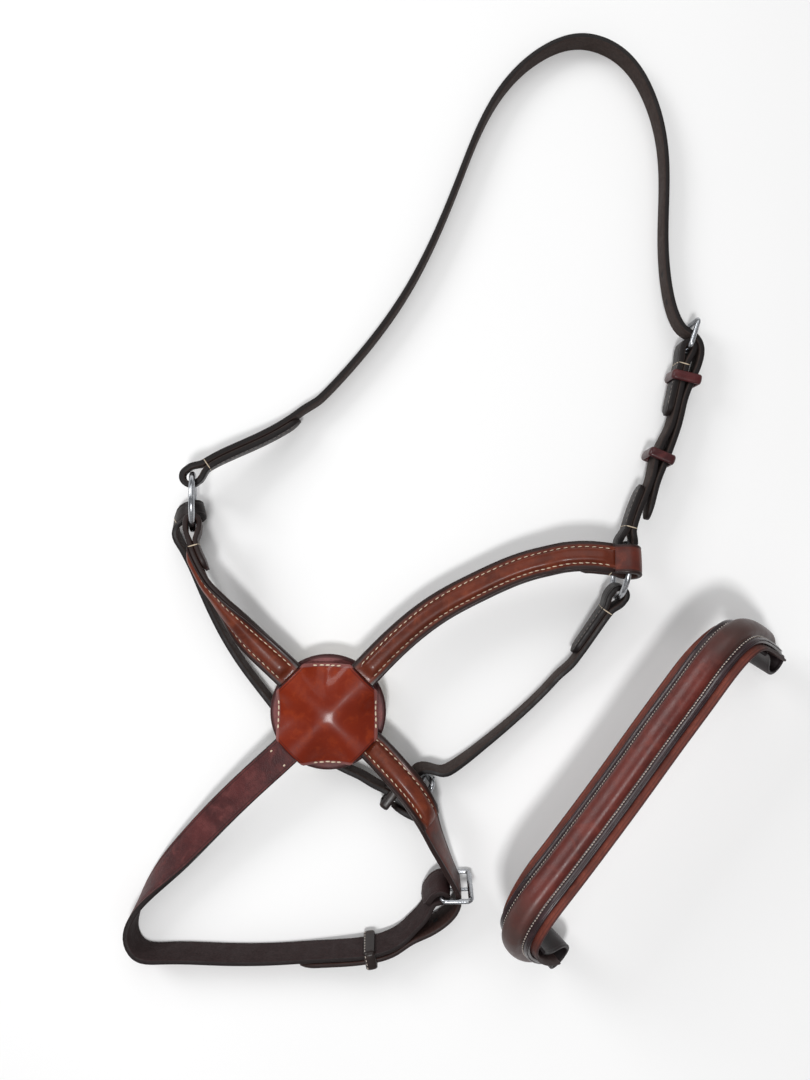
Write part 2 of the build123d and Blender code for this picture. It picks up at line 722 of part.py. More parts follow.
def lining_section(s, length):
    a = BROW_W / 2
    outer = a - 3.5 * (1 - smooth01((min(s, length - s) - 40) / 55))
    return [(-outer, -1.6), (a, -1.6), (a, -0.1), (-outer, -0.1)]


def brow_roll_section(s, length):
    k = min(1.0, 0.25 + min(s, length - s) / 14)
    h = 2.4 + 1.3 + 5.2 * k
    return [(-10.9, 2.5), (-6.2, 2.5), (-5.4, h - 2.0), (-3.0, h - 1.2), (3.0, h - 1.2),
            (5.4, h - 2.0), (6.2, 2.5), (10.9, 2.5), (10.9, 3.6), (7.5, 3.6), (6.4, h - 1.0),
            (3.4, h), (-3.4, h), (-6.4, h - 1.0), (-7.5, 3.6), (-10.9, 3.6)]


def brow_filler_section(s, length):
    k = min(1.0, 0.25 + min(s, length - s) / 14)
    h = 2.4 + 5.2 * k
    return [(-6.0, 2.5), (6.0, 2.5), (5.1, h - 1.1), (2.8, h - 0.2), (-2.8, h - 0.2), (-5.1, h - 1.1)]


def brow_loop(uv):
    pts = np.array([arch(u, v) for u, v in uv])
    frames = route(pts, np.repeat(BROW_WIDE[None, :], len(pts), axis=0), blur=2)
    return ribbon(frames, slab(BROW_STRAP_W, -1.1, 1.1), 6.0)


LOOP_LOWER = [(6.2, 40), (5.6, 33), (6.8, 26), (10.2, 18), (10.8, 9.8), (7.8, 3.6), (2.4, 1.8),
              (-3.2, 3.4), (-5.6, 8.2), (-3.0, 13.2)]
LOOP_UPPER = [(225.2, 40), (225.8, 33), (224.6, 26), (221.4, 18), (221.0, 9.8), (224.0, 3.6),
              (228.6, 1.8), (232.4, 3.6), (234.0, 8.4), (231.8, 13.0)]
save(ribbon(BROW, lining_section), "browband_lining")
save(ribbon(BROW, slab(BROW_STRAP_W, 0.0, 2.3)), "browband_strap")
save(ribbon(BROW, brow_roll_section), "browband_roll")
save(ribbon(BROW, brow_filler_section), "browband_filler")
save(brow_loop(LOOP_LOWER), "browband_loop_lower")
save(brow_loop(LOOP_UPPER), "browband_loop_upper")
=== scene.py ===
import math

import bpy
import numpy as np
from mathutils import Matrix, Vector


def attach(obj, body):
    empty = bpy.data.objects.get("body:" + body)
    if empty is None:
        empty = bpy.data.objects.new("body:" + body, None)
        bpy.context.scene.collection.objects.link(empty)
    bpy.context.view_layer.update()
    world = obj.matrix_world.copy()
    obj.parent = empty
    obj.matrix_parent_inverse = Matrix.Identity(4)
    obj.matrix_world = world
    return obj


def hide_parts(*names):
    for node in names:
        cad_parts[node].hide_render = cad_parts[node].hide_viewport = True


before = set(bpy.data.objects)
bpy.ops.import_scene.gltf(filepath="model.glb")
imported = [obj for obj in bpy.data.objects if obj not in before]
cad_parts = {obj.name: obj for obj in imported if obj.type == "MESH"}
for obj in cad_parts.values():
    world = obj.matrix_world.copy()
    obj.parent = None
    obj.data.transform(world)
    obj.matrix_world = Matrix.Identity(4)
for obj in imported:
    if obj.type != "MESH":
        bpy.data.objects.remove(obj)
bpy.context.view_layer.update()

# Lengths are in millimetres up to add_mesh, which turns them into metres in the shared frame.
CENTRING = np.array([-0.74, -1.6, 0.0])      # moves the routes' origin to the frame's
SLIM_W, SLIM_T = 13.0, 3.5                   # headpiece, cheek and jaw straps
NOSE_W, NOSE_T = 18.5, 3.0
CHIN_W, CHIN_T = 19.0, 3.5
RAISE_HALF, RAISE_H, COVER_T = 4.4, 2.6, 1.2  # raised middle of the nose straps, and its cover leather
PLY_GAP = 0.4                                # between the two plies of a turned-back strap
BINDING_R = 0.34                             # thread bound round a strap at its eyes
RING_R, RING_WIRE = 16.9, 1.8
LEFT_TILT, RIGHT_HEADING = 12.0, 80.4
BAR_R, TONGUE_R, HOOK_R = 1.5, 1.1, 0.95     # buckle wire, tongue and the tongue's hook
SLIM_FRAME = (17.2, 17.5)
WIDE_FRAME = (18.2, 23.5)
KEEPER_WALL = 1.8
HOLE_R = 1.6
ROSETTE = np.array([-77.3, -131.3, 0.0])
OCTAGON_T = 1.45
BROW_FOOT = np.array([62.3, -282.8, 8.1])
BROW_ALONG = np.array([0.5967, 0.8024, 0.0])
BROW_LEAN = 40.0
LEFT_RING = np.array([-160.3, -1.0, 23.6])
RIGHT_RING = np.array([104.9, -43.4, 20.0])
Z = np.array([0.0, 0.0, 1.0])
RNG = np.random.default_rng(7)


# ---- strap routes, the same as the frame's ---------------------------------------------
def unit(v):
    v = np.asarray(v, float)
    return v / np.linalg.norm(v, axis=-1, keepdims=True)


def lie(lean, heading):
    """Direction at an angle from straight up, towards a compass heading."""
    a, h = np.radians(lean), np.radians(heading)
    return np.array([np.sin(a) * np.cos(h), np.sin(a) * np.sin(h), np.cos(a)])


def distance_along(p):
    return np.concatenate([[0.0], np.cumsum(np.linalg.norm(np.diff(p, axis=0), axis=1))])


def natural_spline(knots, values, at):
    """Smooth curve through the values, read at the given distances."""
    n = len(knots)
    h = np.diff(knots)
    a = np.eye(n)
    rhs = np.zeros_like(values)
    for i in range(1, n - 1):
        a[i, i - 1], a[i, i], a[i, i + 1] = h[i - 1], 2 * (h[i - 1] + h[i]), h[i]
        rhs[i] = 6 * ((values[i + 1] - values[i]) / h[i] - (values[i] - values[i - 1]) / h[i - 1])
    m = np.linalg.solve(a, rhs)
    j = np.clip(np.searchsorted(knots, at, side="right") - 1, 0, n - 2)
    hj = h[j][:, None]
    u = (knots[j + 1] - at)[:, None]
    v = (at - knots[j])[:, None]
    cubic = m[j] * u**3 / (6 * hj) + m[j + 1] * v**3 / (6 * hj)
    line = (values[j] / hj - m[j] * hj / 6) * u + (values[j + 1] / hj - m[j + 1] * hj / 6) * v
    return cubic + line


def knots(rows):
    """Points and width directions, from (x, y, z, lean, heading) or (point, direction) rows."""
    pts = np.array([r[0] if len(r) == 2 else r[:3] for r in rows], float)
    wid = np.array([r[1] if len(r) == 2 else lie(r[3], r[4]) for r in rows])
    return pts, wid


def join(*parts):
    return np.vstack([p[0] for p in parts]), np.vstack([p[1] for p in parts])


def route(points, wid, blur=9):
    """Middle line of a strap every millimetre: points, along, across and outward directions."""
    s = distance_along(points)
    at = np.linspace(0, s[-1], int(s[-1]) + 1)
    p = natural_spline(s, points, at)
    w = np.stack([np.interp(at, s, wid[:, i]) for i in range(3)], axis=1)
    padded = np.pad(w, ((blur, blur), (0, 0)), mode="edge")
    box = np.ones(2 * blur + 1) / (2 * blur + 1)
    w = np.stack([np.convolve(padded[:, i], box, mode="valid") for i in range(3)], axis=1)
    t = unit(np.gradient(p, axis=0))
    w = unit(w - np.sum(w * t, axis=1, keepdims=True) * t)
    return p, t, w, np.cross(w, t)


def smooth01(x):
    x = np.clip(x, 0, 1)
    return x * x * (3 - 2 * x)


def eye(radius, length, stretch=0.0, pinch=9.0):
    """A strap end folded round a bar or ring, and how far it turns back."""
    return {"radius": radius, "length": length, "stretch": stretch, "pinch": pinch}


def ply_offset(d, e, thick):
    """How far the ply stands off the middle line at distance d from its eye."""
    half = (thick + PLY_GAP) / 2
    near = e["radius"] + (half - e["radius"]) * smooth01((d - 1.5) / e["pinch"])
    far = half * (1 - smooth01((d - e["length"] - 3) / 16))
    return np.where(d < e["length"] + 3, near, far)


def body_offset(r, thick, start, end):
    s = distance_along(r[0])
    off = np.zeros(len(s))
    if start:
        off = np.maximum(off, ply_offset(s, start, thick))
    if end:
        off = np.maximum(off, ply_offset(s[-1] - s, end, thick))
    return s, off


def looped(r, thick, start=None, end=None):
    """Whole path of a strap, round its eyes and back along its turned-back ends."""
    p, t, w, n = r
    s, off = body_offset(r, thick, start, end)
    body, back = p + n * off[:, None], p - n * off[:, None]
    pts, wid = [body], [w]
    phi = np.linspace(0, np.pi, 17)[:, None]
    if start:
        c = p[0] - t[0] * start["stretch"]
        fold = c + start["radius"] * (-n[0] * np.cos(phi) - t[0] * np.sin(phi))
        keep = s <= start["length"]
        pts = [back[keep][::-1], fold] + pts
        wid = [w[keep][::-1], np.repeat(w[:1], len(phi), axis=0)] + wid
    if end:
        c = p[-1] + t[-1] * end["stretch"]
        fold = c + end["radius"] * (n[-1] * np.cos(phi) + t[-1] * np.sin(phi))
        keep = s >= s[-1] - end["length"]
        pts = pts + [fold, back[keep][::-1]]
        wid = wid + [np.repeat(w[-1:], len(phi), axis=0), w[keep][::-1]]
    pts, wid = np.vstack(pts), np.vstack(wid)
    fresh = np.concatenate([[True], np.linalg.norm(np.diff(pts, axis=0), axis=1) > 0.05])
    return framed(pts[fresh], wid[fresh])


def framed(pts, wid):
    t = unit(np.gradient(pts, axis=0))
    w = unit(wid - np.sum(wid * t, axis=1, keepdims=True) * t)
    return pts, t, w, np.cross(w, t)


def over_strap(r, thick, start=None, end=None):
    """Middle line of the front ply alone."""
    s, off = body_offset(r, thick, start, end)
    return framed(r[0] + r[3] * off[:, None], r[2])


def stretch_beside(r, s0, s1, offset, count):
    """Rows for a strap that lies against another one."""
    p, t, w, n = r
    s = distance_along(p)
    pick = [int(np.argmin(abs(s - v))) for v in np.linspace(s0, s1, count)]
    return p[pick] + n[pick] * offset, w[pick]


def near(r, x, y):
    """Distance along the route to its nearest point to (x, y)."""
    return float(distance_along(r[0])[np.argmin(np.hypot(r[0][:, 0] - x, r[0][:, 1] - y))])


def cut(frames, lo, hi):
    s = distance_along(frames[0])
    keep = (s >= lo) & (s <= hi)
    return tuple(f[keep] for f in frames)


def ring_axes(tilt, heading):
    h = np.radians(heading)
    along = np.array([np.cos(h), np.sin(h), 0.0])
    side = np.cross(along, Z)
    up = unit(Z * np.cos(np.radians(tilt)) + side * np.sin(np.radians(tilt)))
    return along, up


L_ALONG, L_UP = ring_axes(LEFT_TILT, 90.0)
R_ALONG, R_UP = ring_axes(0.0, RIGHT_HEADING)


def on_ring(centre, along, up, angle, inward=0.0):
    a = np.radians(angle)
    return centre + (RING_R - inward) * (along * np.cos(a) + up * np.sin(a))


def wire_way(along, up, angle):
    """The way the ring's wire runs at that angle."""
    a = np.radians(angle)
    return up * np.cos(a) - along * np.sin(a)


HEAD_REAR = np.array([148.2, 96.3, 10.6])
HEAD_AHEAD = unit([0.29, 0.957, 0.0])
HEAD_ACROSS = Z
HEAD_OUT = np.cross(HEAD_AHEAD, HEAD_ACROSS)
JAW_REAR = np.array([-21.7, -190.5, 10.3])
JAW_ACROSS = lie(15.0, -26.8)
JAW_AHEAD = unit(np.cross(JAW_ACROSS, np.cross(np.array([0.45, 0.89, 0.0]), JAW_ACROSS)))
JAW_OUT = np.cross(JAW_AHEAD, JAW_ACROSS)
CHIN_REAR = np.array([-6.8, -242.2, 13.2])
CHIN_ACROSS = lie(25.0, 270.0)
CHIN_AHEAD = np.array([1.0, 0.0, 0.0])
CHIN_OUT = np.cross(CHIN_AHEAD, CHIN_ACROSS)

CHEEK = route(*knots([
    (*HEAD_REAR, 0, 0), (144.6, 84.4, 10.6, 0, 0), (140.6, 67.4, 10.6, 0, 0),
    (133.6, 41.0, 10.6, 0, 0), (128.0, 27.0, 11.4, 0, 0), (123.0, 15.0, 13.0, 0, 0),
    (117.2, 2.0, 15.2, 0, 0), (111.6, -12.0, 17.0, 4, 80),
    (on_ring(RIGHT_RING, R_ALONG, R_UP, -8, 0.65), wire_way(R_ALONG, R_UP, -8))]))
CHEEK_LEN = distance_along(CHEEK[0])[-1]
HEAD = route(*join(
    knots([
        (on_ring(LEFT_RING, L_ALONG, L_UP, 0, 0.65), L_UP),
        (-152.0, 21.6, 22.2, 8, 0), (-136.7, 30.3, 18.0, 0, 0), (-113.4, 42.3, 12.0, 0, 0),
        (-94.9, 54.9, 8.0, 0, 0), (-68.4, 80.7, 6.45, 0, 0), (-29.5, 131.6, 6.45, 0, 0),
        (6.2, 208.1, 6.45, 0, 0), (30.4, 259.1, 6.45, 0, 0), (56.5, 284.6, 6.45, 0, 0),
        (82.0, 293.2, 6.45, 0, 0), (107.5, 284.0, 6.45, 0, 0), (125.4, 259.1, 6.45, 0, 0),
        (134.9, 220.9, 6.45, 0, 0), (134.9, 169.9, 6.45, 0, 0), (137.4, 131.2, 8.3, 0, 0),
        (141.6, 114.5, 10.2, 0, 0), (145.9, 107.8, 10.6, 0, 0), (151.4, 104.0, 10.6, 0, 0),
        (155.7, 97.4, 10.6, 0, 0), (155.6, 89.6, 10.6, 0, 0), (152.2, 79.8, 10.6, 0, 0)]),
    stretch_beside(CHEEK, 32.0, 88.0, 5.9, 6),
    knots([(125.9, 4.4, 13.0, 0, 0), (122.2, -11.6, 12.8, 0, 0)])))
HEAD_LEN = distance_along(HEAD[0])[-1]
CHIN = route(*knots([
    (-80.2, -133.9, 27.0, 90, 135), (-93.8, -145.4, 27.0, 90, 135),
    (-106.9, -157.7, 25.9, 94, 135), (-120.1, -170.0, 23.9, 98, 135),
    (-146.2, -195.7, 18.8, 104, 132), (-171.4, -222.7, 13.6, 122, 126),
    (-183.7, -236.1, 11.4, 142, 120), (-194.1, -249.3, 10.0, 162, 110),
    (-201.3, -262.6, 9.45, 172, 60), (-203.2, -274.5, 9.45, 176, 60),
    (-197.6, -284.0, 9.45, 174, 90), (-182.0, -286.2, 9.45, 172, 90),
    (-146.7, -286.8, 9.45, 172, 90), (-110.0, -286.6, 9.45, 172, 90),
    (-88.0, -284.9, 10.2, 172, 90), (-66.0, -282.6, 12.4, 172, 90),
    (-47.0, -279.6, 12.9, 170, 90), (-33.5, -274.6, 11.4, 168, 90),
    (-23.6, -265.6, 10.4, 166, 90), (-17.0, -254.8, 10.2, 160, 90),
    (-13.2, -247.4, 11.1, 156, 90), (CHIN_REAR, -CHIN_ACROSS)]))
CHIN_LEN = distance_along(CHIN[0])[-1]
CHIN_TAIL = stretch_beside(CHIN, CHIN_LEN - 38.0, CHIN_LEN - 108.0, 3.95, 7)
NOSE_LEFT = route(*join(
    knots([
        (on_ring(LEFT_RING, L_ALONG, L_UP, 172, 1.45), wire_way(L_ALONG, L_UP, 172)),
        (-159.3, -25.4, 27.0, 168, 200), (-155.2, -36.8, 26.4, 172, 218),
        (-149.4, -49.2, 25.2, 166, 222), (-142.8, -61.5, 24.3, 152, 225),
        (-134.6, -72.6, 23.6, 130, 225), (-125.1, -84.3, 23.2, 104, 225),
        (-114.0, -95.5, 22.4, 92, 225), (-100.5, -108.4, 21.95, 90, 225),
        (-77.0, -130.8, 21.95, 90, 227), (-54.2, -147.8, 22.4, 90, 230),
        (-45.4, -155.8, 24.0, 86, 232), (-35.6, -166.0, 26.4, 78, 235),
        (-24.6, -179.4, 27.6, 68, 238), (-16.3, -193.8, 26.6, 56, 242),
        (-11.2, -207.1, 23.0, 40, 246), (-5.5, -220.8, 19.0, 26, 250),
        (0.6, -234.6, 15.6, 18, 260), (4.3, -246.0, 12.4, 20, 268),
        (1.8, -255.2, 10.8, 12, 270), (-5.6, -263.4, 10.4, 8, 270),
        (-15.2, -269.2, 10.6, 8, 270)]),
    (CHIN_TAIL[0], -CHIN_TAIL[1])))
NOSE_LEFT_LEN = distance_along(NOSE_LEFT[0])[-1]
NOSE_RIGHT = route(*knots([
    (-75.0, -128.6, 26.8, 90, 315), (-55.8, -107.8, 26.8, 90, 315),
    (-32.6, -84.8, 25.6, 83, 312), (-8.0, -65.9, 25.4, 77, 304),
    (16.4, -52.8, 26.6, 72, 297), (40.5, -42.1, 29.4, 69, 285),
    (64.2, -36.2, 33.0, 67, 275), (81.5, -35.1, 35.1, 67, 266),
    (93.2, -36.2, 35.4, 68, 262),
    (on_ring(RIGHT_RING, R_ALONG, R_UP, 68, 1.45), wire_way(R_ALONG, R_UP, 68))]))
NOSE_RIGHT_LEN = distance_along(NOSE_RIGHT[0])[-1]
JAW_LEFT = route(*knots([
    (on_ring(LEFT_RING, L_ALONG, L_UP, 248, 0.65), wire_way(L_ALONG, L_UP, 248)),
    (-169.0, -9.8, 8.6, 120, 100), (-172.6, -15.0, 8.2, 150, 120),
    (-173.0, -23.0, 7.2, 180, 0), (-169.6, -31.5, 6.45, 180, 0), (-165.2, -40.0, 6.45, 180, 0),
    (-160.8, -50.0, 6.45, 180, 0), (-150.6, -72.9, 6.45, 180, 0),
    (-136.6, -97.8, 6.45, 180, 0), (-116.8, -124.6, 6.45, 180, 0),
    (-96.4, -148.8, 6.45, 180, 0), (-83.6, -160.1, 6.45, 180, 0),
    (-67.6, -169.2, 7.4, 178, 150), (-50.5, -175.6, 10.2, 172, 150),
    (-38.4, -181.0, 12.2, 168, 152), (-29.6, -187.4, 12.2, 166, 153),
    (JAW_REAR, -JAW_ACROSS)]), blur=4)
JAW_LEFT_LEN = distance_along(JAW_LEFT[0])[-1]
JAW_RIGHT = route(*knots([
    (on_ring(RIGHT_RING, R_ALONG, R_UP, 190, 0.65), -wire_way(R_ALONG, R_UP, 190)),
    (94.2, -70.6, 15.6, 6, 260), (85.8, -84.1, 12.6, 0, 0), (67.5, -110.1, 8.0, 0, 0),
    (42.2, -136.0, 6.45, 0, 0), (18.3, -155.7, 7.4, 4, 320), (2.2, -167.2, 9.4, 10, 325),
    (-6.0, -170.6, 10.2, 14, 330), (-13.8, -168.8, 10.4, 15, 333),
    (-21.2, -169.6, 10.4, 15, 333), (-24.4, -175.4, 10.4, 15, 333),
    (-20.4, -181.6, 10.4, 15, 333), (-14.4, -186.4, 10.4, 15, 333),
    (-11.8, -192.4, 10.4, 15, 333), (-15.2, -198.2, 10.6, 15, 333),
    (-22.6, -198.6, 11.0, 15, 333), (-30.6, -194.8, 11.8, 13, 333),
    (-37.6, -191.0, 12.2, 12, 333)]), blur=4)
JAW_RIGHT_LEN = distance_along(JAW_RIGHT[0])[-1]

BROW_UP = unit(np.cross(Z, BROW_ALONG) * np.sin(np.radians(BROW_LEAN))
               + Z * np.cos(np.radians(BROW_LEAN)))
BROW_WIDE = np.cross(BROW_ALONG, BROW_UP)


def arch_route(uv, blur=9):
    pts = np.array([BROW_FOOT + BROW_ALONG * u + BROW_UP * v for u, v in uv])
    return route(pts, np.repeat(BROW_WIDE[None, :], len(pts), axis=0), blur)


BROW = arch_route([(1.2, 16), (0.4, 28), (1.6, 42), (5.6, 57), (12, 67), (23, 72.4), (50, 73.2),
                   (84, 72.2), (117.4, 72.6), (150.8, 74.2), (184.8, 74.8), (212, 73),
                   (221.5, 67), (226.6, 57), (229.8, 42), (231.6, 28), (232.6, 16)])
BROW_LEN = distance_along(BROW[0])[-1]
LOOP_LOWER = [(6.2, 40), (5.6, 33), (6.8, 26), (10.2, 18), (10.8, 9.8), (7.8, 3.6), (2.4, 1.8),
              (-3.2, 3.4), (-5.6, 8.2), (-3.0, 13.2)]
LOOP_UPPER = [(225.2, 40), (225.8, 33), (224.6, 26), (221.4, 18), (221.0, 9.8), (224.0, 3.6),
              (228.6, 1.8), (232.4, 3.6), (234.0, 8.4), (231.8, 13.0)]

HEAD_EYE = eye(4.9, 76.0, 1.3)
CHEEK_EYES = (eye(3.5, 45.0), eye(4.6, 40.0, 1.3))
CHIN_EYE = eye(3.75, 15.0)
NOSE_LEFT_EYE = eye(4.1, 30.0, 1.5)
NOSE_RIGHT_EYE = eye(5.2, 34.0, 0.4)
JAW_LEFT_EYES = (eye(4.95, 11.0, 0.6, 8.0), eye(3.5, 24.0))
JAW_RIGHT_EYE = eye(4.6, 46.0, 1.3)


# ---- meshes ----------------------------------------------------------------------------
def add_mesh(name, verts, faces, material, strap=None):
    """Mesh object in metres; strap holds along, across and out for each point, for the material."""
    mesh = bpy.data.meshes.new(name)
    mesh.from_pydata([tuple(v) for v in (np.asarray(verts) + CENTRING) / 1000.0], [], faces)
    if strap is not None:
        a = mesh.attributes.new("strap", "FLOAT_VECTOR", "POINT")
        a.data.foreach_set("vector", np.asarray(strap, np.float32).ravel())
    mesh.polygons.foreach_set("use_smooth", [True] * len(mesh.polygons))
    mesh.materials.append(material)
    mesh.update()
    obj = bpy.data.objects.new(name, mesh)
    bpy.context.scene.collection.objects.link(obj)
    return obj


def loft_faces(rows, count, closed=False):
    """Quads between rows of count points; a closed loft joins its last row to its first."""
    faces = []
    for i in range(rows if closed else rows - 1):
        o, q = i * count, (i + 1) % rows * count
        for j in range(count):
            j2 = (j + 1) % count
            faces.append((o + j, o + j2, q + j2, q + j))
    return faces


def cap_ends(verts, data, faces, rows, count):
    """Close the first and last row, each with a fan round its middle."""
    for base, flip in ((0, True), ((rows - 1) * count, False)):
        middle = len(verts)
        verts.append(np.mean(verts[base:base + count], axis=0))
        data.append(data[base])
        for j in range(count):
            face = (middle, base + j, base + (j + 1) % count)
            faces.append(face[::-1] if flip else face)


def round_faces(verts, data, rings, turns, middles):
    """Skin of a round piece: a top and a bottom layer of rings round two middle points, joined at the rim."""
    faces = []
    for layer, middle in enumerate(middles):
        first, centre = layer * rings * turns, len(verts)
        verts.append(middle)
        data.append((0.0, 0.0, 0.0))
        for k in range(turns):
            k2 = (k + 1) % turns
            fan = [(centre, first + k, first + k2)]
            for o in range(first, first + (rings - 1) * turns, turns):
                fan.append((o + k, o + turns + k, o + turns + k2, o + k2))
            faces += [face[::-1] for face in fan] if layer else fan
    o1, o2 = (rings - 1) * turns, (2 * rings - 1) * turns
    for k in range(turns):
        k2 = (k + 1) % turns
        faces.append((o1 + k, o2 + k, o2 + k2, o1 + k2))
    return faces


def stations(frames, longest, turn):
    """Where a sweep needs a section: after so many millimetres or so many degrees of bend or twist."""
    p, t, w, n = frames
    chosen = [0]
    for i in range(1, len(p) - 1):
        k = chosen[-1]
        bend = np.degrees(np.arccos(np.clip(t[i] @ t[k], -1, 1)))
        twist = np.degrees(np.arccos(np.clip(w[i] @ w[k], -1, 1)))
        if np.linalg.norm(p[i] - p[k]) > longest or bend > turn or twist > turn:
            chosen.append(i)
    return chosen + [len(p) - 1]


def sweep(name, frames, outline, material, longest=2.4, turn=8.0):
    """Closed skin along a strap through outline(s, length), a closed loop of (across, out)."""
    p, t, w, n = frames
    s = distance_along(p)
    picks = stations(frames, longest, turn)
    verts, data = [], []
    for i in picks:
        loop = outline(s[i], s[-1])
        for a, b in loop:
            verts.append(p[i] + a * w[i] + b * n[i])
            data.append((s[i], a, b))
    faces = loft_faces(len(picks), len(loop))
    cap_ends(verts, data, faces, len(picks), len(loop))
    return add_mesh(name, verts, faces, material, data)


def arc(cx, cy, r, a0, a1, n):
    return [(cx + r * math.cos(math.radians(a)), cy + r * math.sin(math.radians(a)))
            for a in np.linspace(a0, a1, n)]


def rounded_loop(x0, x1, half, radius, points, step):
    """Closed rounded rectangle from x0 to x1 and half to each side, cut into steps."""
    corners = np.array(arc(x1 - radius, half - radius, radius, 0, 90, points)
                       + arc(x0 + radius, half - radius, radius, 90, 180, points)
                       + arc(x0 + radius, radius - half, radius, 180, 270, points)
                       + arc(x1 - radius, radius - half, radius, 270, 360, points))
    path = []
    for here, following in zip(corners, np.roll(corners, -1, axis=0)):
        steps = max(1, int(np.linalg.norm(following - here) / step))
        path += [here + (following - here) * m / steps for m in range(steps)]
    return np.array(path)


def strap_loop(a, b, crown=0.16, crease=1.9, r=0.85):
    """Strap section: rounded edges, a crowned grain side with a creased line near each edge."""
    r = min(r, b * 0.9, a * 0.4)
    crease = min(crease, a * 0.45 - 0.1)
    lip = min(0.45, a * 0.04)
    xs = [a - r - 0.02, a - crease + lip, a - crease, a - crease - lip, a * 0.4, a * 0.2, 0.0]
    xs = xs + [-x for x in xs[-2::-1]]
    top = []
    for x in xs:
        dip = 0.2 * math.exp(-((abs(x) - (a - crease)) / 0.3) ** 2)
        top.append((x, b + crown * (1 - (x / a) ** 2) - dip))
    right = arc(a - r, -b + r, r, -90, 0, 4) + arc(a - r, b - r, r, 0, 80, 4)
    left = arc(-a + r, b - r, r, 100, 180, 4) + arc(-a + r, -b + r, r, 180, 270, 4)
    return right + top + left


def strap_outline(width, thick, tip_start=0.0, tip_end=0.0, point=0.3):
    """Section of a flat strap whose ends narrow to rounded, thinner tips."""
    def outline(s, length):
        k, thin = 1.0, 1.0
        for d, tip in ((s, tip_start), (length - s, tip_end)):
            if tip and d < tip:
                x = 1 - d / tip
                k = min(k, point + (1 - point) * math.sqrt(max(0.0, 1 - x * x)))
                thin = min(thin, 0.72 + 0.28 * (d / tip))
        return strap_loop(width / 2 * k, thick / 2 * thin)
    return outline


def tube(name, pts, radius, material, up, closed=False, sides=20):
    """Round bar along points; radius is one number or one for each point."""
    pts = np.asarray(pts, float)
    n = len(pts)
    radii = np.full(n, radius) if np.isscalar(radius) else np.asarray(radius, float)
    if closed:
        t = unit(np.roll(pts, -1, axis=0) - np.roll(pts, 1, axis=0))
    else:
        t = unit(np.gradient(pts, axis=0))
    verts, data = [], []
    for i in range(n):
        x = unit(up - (up @ t[i]) * t[i])
        y = np.cross(t[i], x)
        for k in range(sides):
            a = 2 * math.pi * k / sides
            verts.append(pts[i] + radii[i] * (x * math.cos(a) + y * math.sin(a)))
            data.append((i, a, radii[i]))
    faces = loft_faces(n, sides, closed)
    if not closed:
        cap_ends(verts, data, faces, n, sides)
    return add_mesh(name, verts, faces, material, data)


class Bits:
    """Many small closed shapes, such as stitches, gathered into one mesh."""

    def __init__(self):
        self.verts, self.faces = [], []

    def pod(self, c, x, y, z, half, rad, flat=0.75, seg=6, rings=5):
        """A plump stitch round c, along x, low in z."""
        base = len(self.verts)
        for i in range(rings):
            u = -1 + 2 * (i + 0.5) / rings
            r = rad * math.sqrt(max(0.0, 1 - (abs(u) ** 2.6)))
            for k in range(seg):
                a = 2 * math.pi * k / seg
                self.verts.append(c + x * half * u * 1.05 + y * r * math.cos(a) + z * r * flat * math.sin(a))
        for i in range(rings - 1):
            for k in range(seg):
                k2 = (k + 1) % seg
                a, b = base + i * seg, base + (i + 1) * seg
                self.faces.append((a + k, a + k2, b + k2, b + k))
        for i, u in ((0, -1.05), (rings - 1, 1.05)):
            tip = len(self.verts)
            self.verts.append(c + x * half * u)
            for k in range(seg):
                f = (tip, base + i * seg + k, base + i * seg + (k + 1) % seg)
                self.faces.append(f[::-1] if i == 0 else f)

    def disc(self, c, x, y, z, rad, rim=0.35, seg=16):
        """A punched hole: a dish with a soft raised lip, which carries the painted shade of the hole's
        opening.
        """
        base = len(self.verts)
        for r, h in ((rad + rim, 0.0), (rad, 0.10), (rad - 0.25, 0.02), (0.01, 0.015)):
            for k in range(seg):
                a = 2 * math.pi * k / seg
                self.verts.append(c + (x * math.cos(a) + y * math.sin(a)) * r + z * h)
        for i in range(3):
            for k in range(seg):
                k2 = (k + 1) % seg
                a, b = base + i * seg, base + (i + 1) * seg
                self.faces.append((a + k, a + k2, b + k2, b + k))

    def made(self, name, material):
        return add_mesh(name, self.verts, self.faces, material)


def stitch_row(bits, frames, across, out, s0, s1, pitch, length, rad, skew=0.0):
    """Stitches from s0 to s1 along a strap, each a little out of true."""
    p, t, w, n = frames
    s = distance_along(p)
    count = max(1, int((s1 - s0) / pitch))
    for v in s0 + pitch * (np.arange(count) + 0.5):
        i = int(np.argmin(abs(s - v)))
        x = unit(t[i] + w[i] * (skew + RNG.normal(0, 0.03)))
        y = unit(np.cross(n[i], x))
        c = p[i] + w[i] * (across + RNG.normal(0, 0.05)) + n[i] * out
        c = c + t[i] * (v - s[i])
        bits.pod(c, x, y, np.cross(x, y), length / 2 * (1 + RNG.normal(0, 0.04)), rad)


def bind(bits, r, at, width, thick):
    """Thread bound across both edges of a folded strap, just behind its eye."""
    p, t, w, n = r
    i = int(np.argmin(abs(distance_along(p) - at)))
    reach = (thick + PLY_GAP) / 2 + thick / 2
    for side in (1, -1):
        bits.pod(p[i] + w[i] * side * (width / 2 + 0.05), n[i], t[i], w[i] * side, reach * 0.95, BINDING_R)
        for k in (-1, 0, 1):
            c = p[i] + n[i] * side * (reach + 0.05) + w[i] * k * width * 0.3
            bits.pod(c, w[i], t[i], n[i], width * 0.11, BINDING_R)


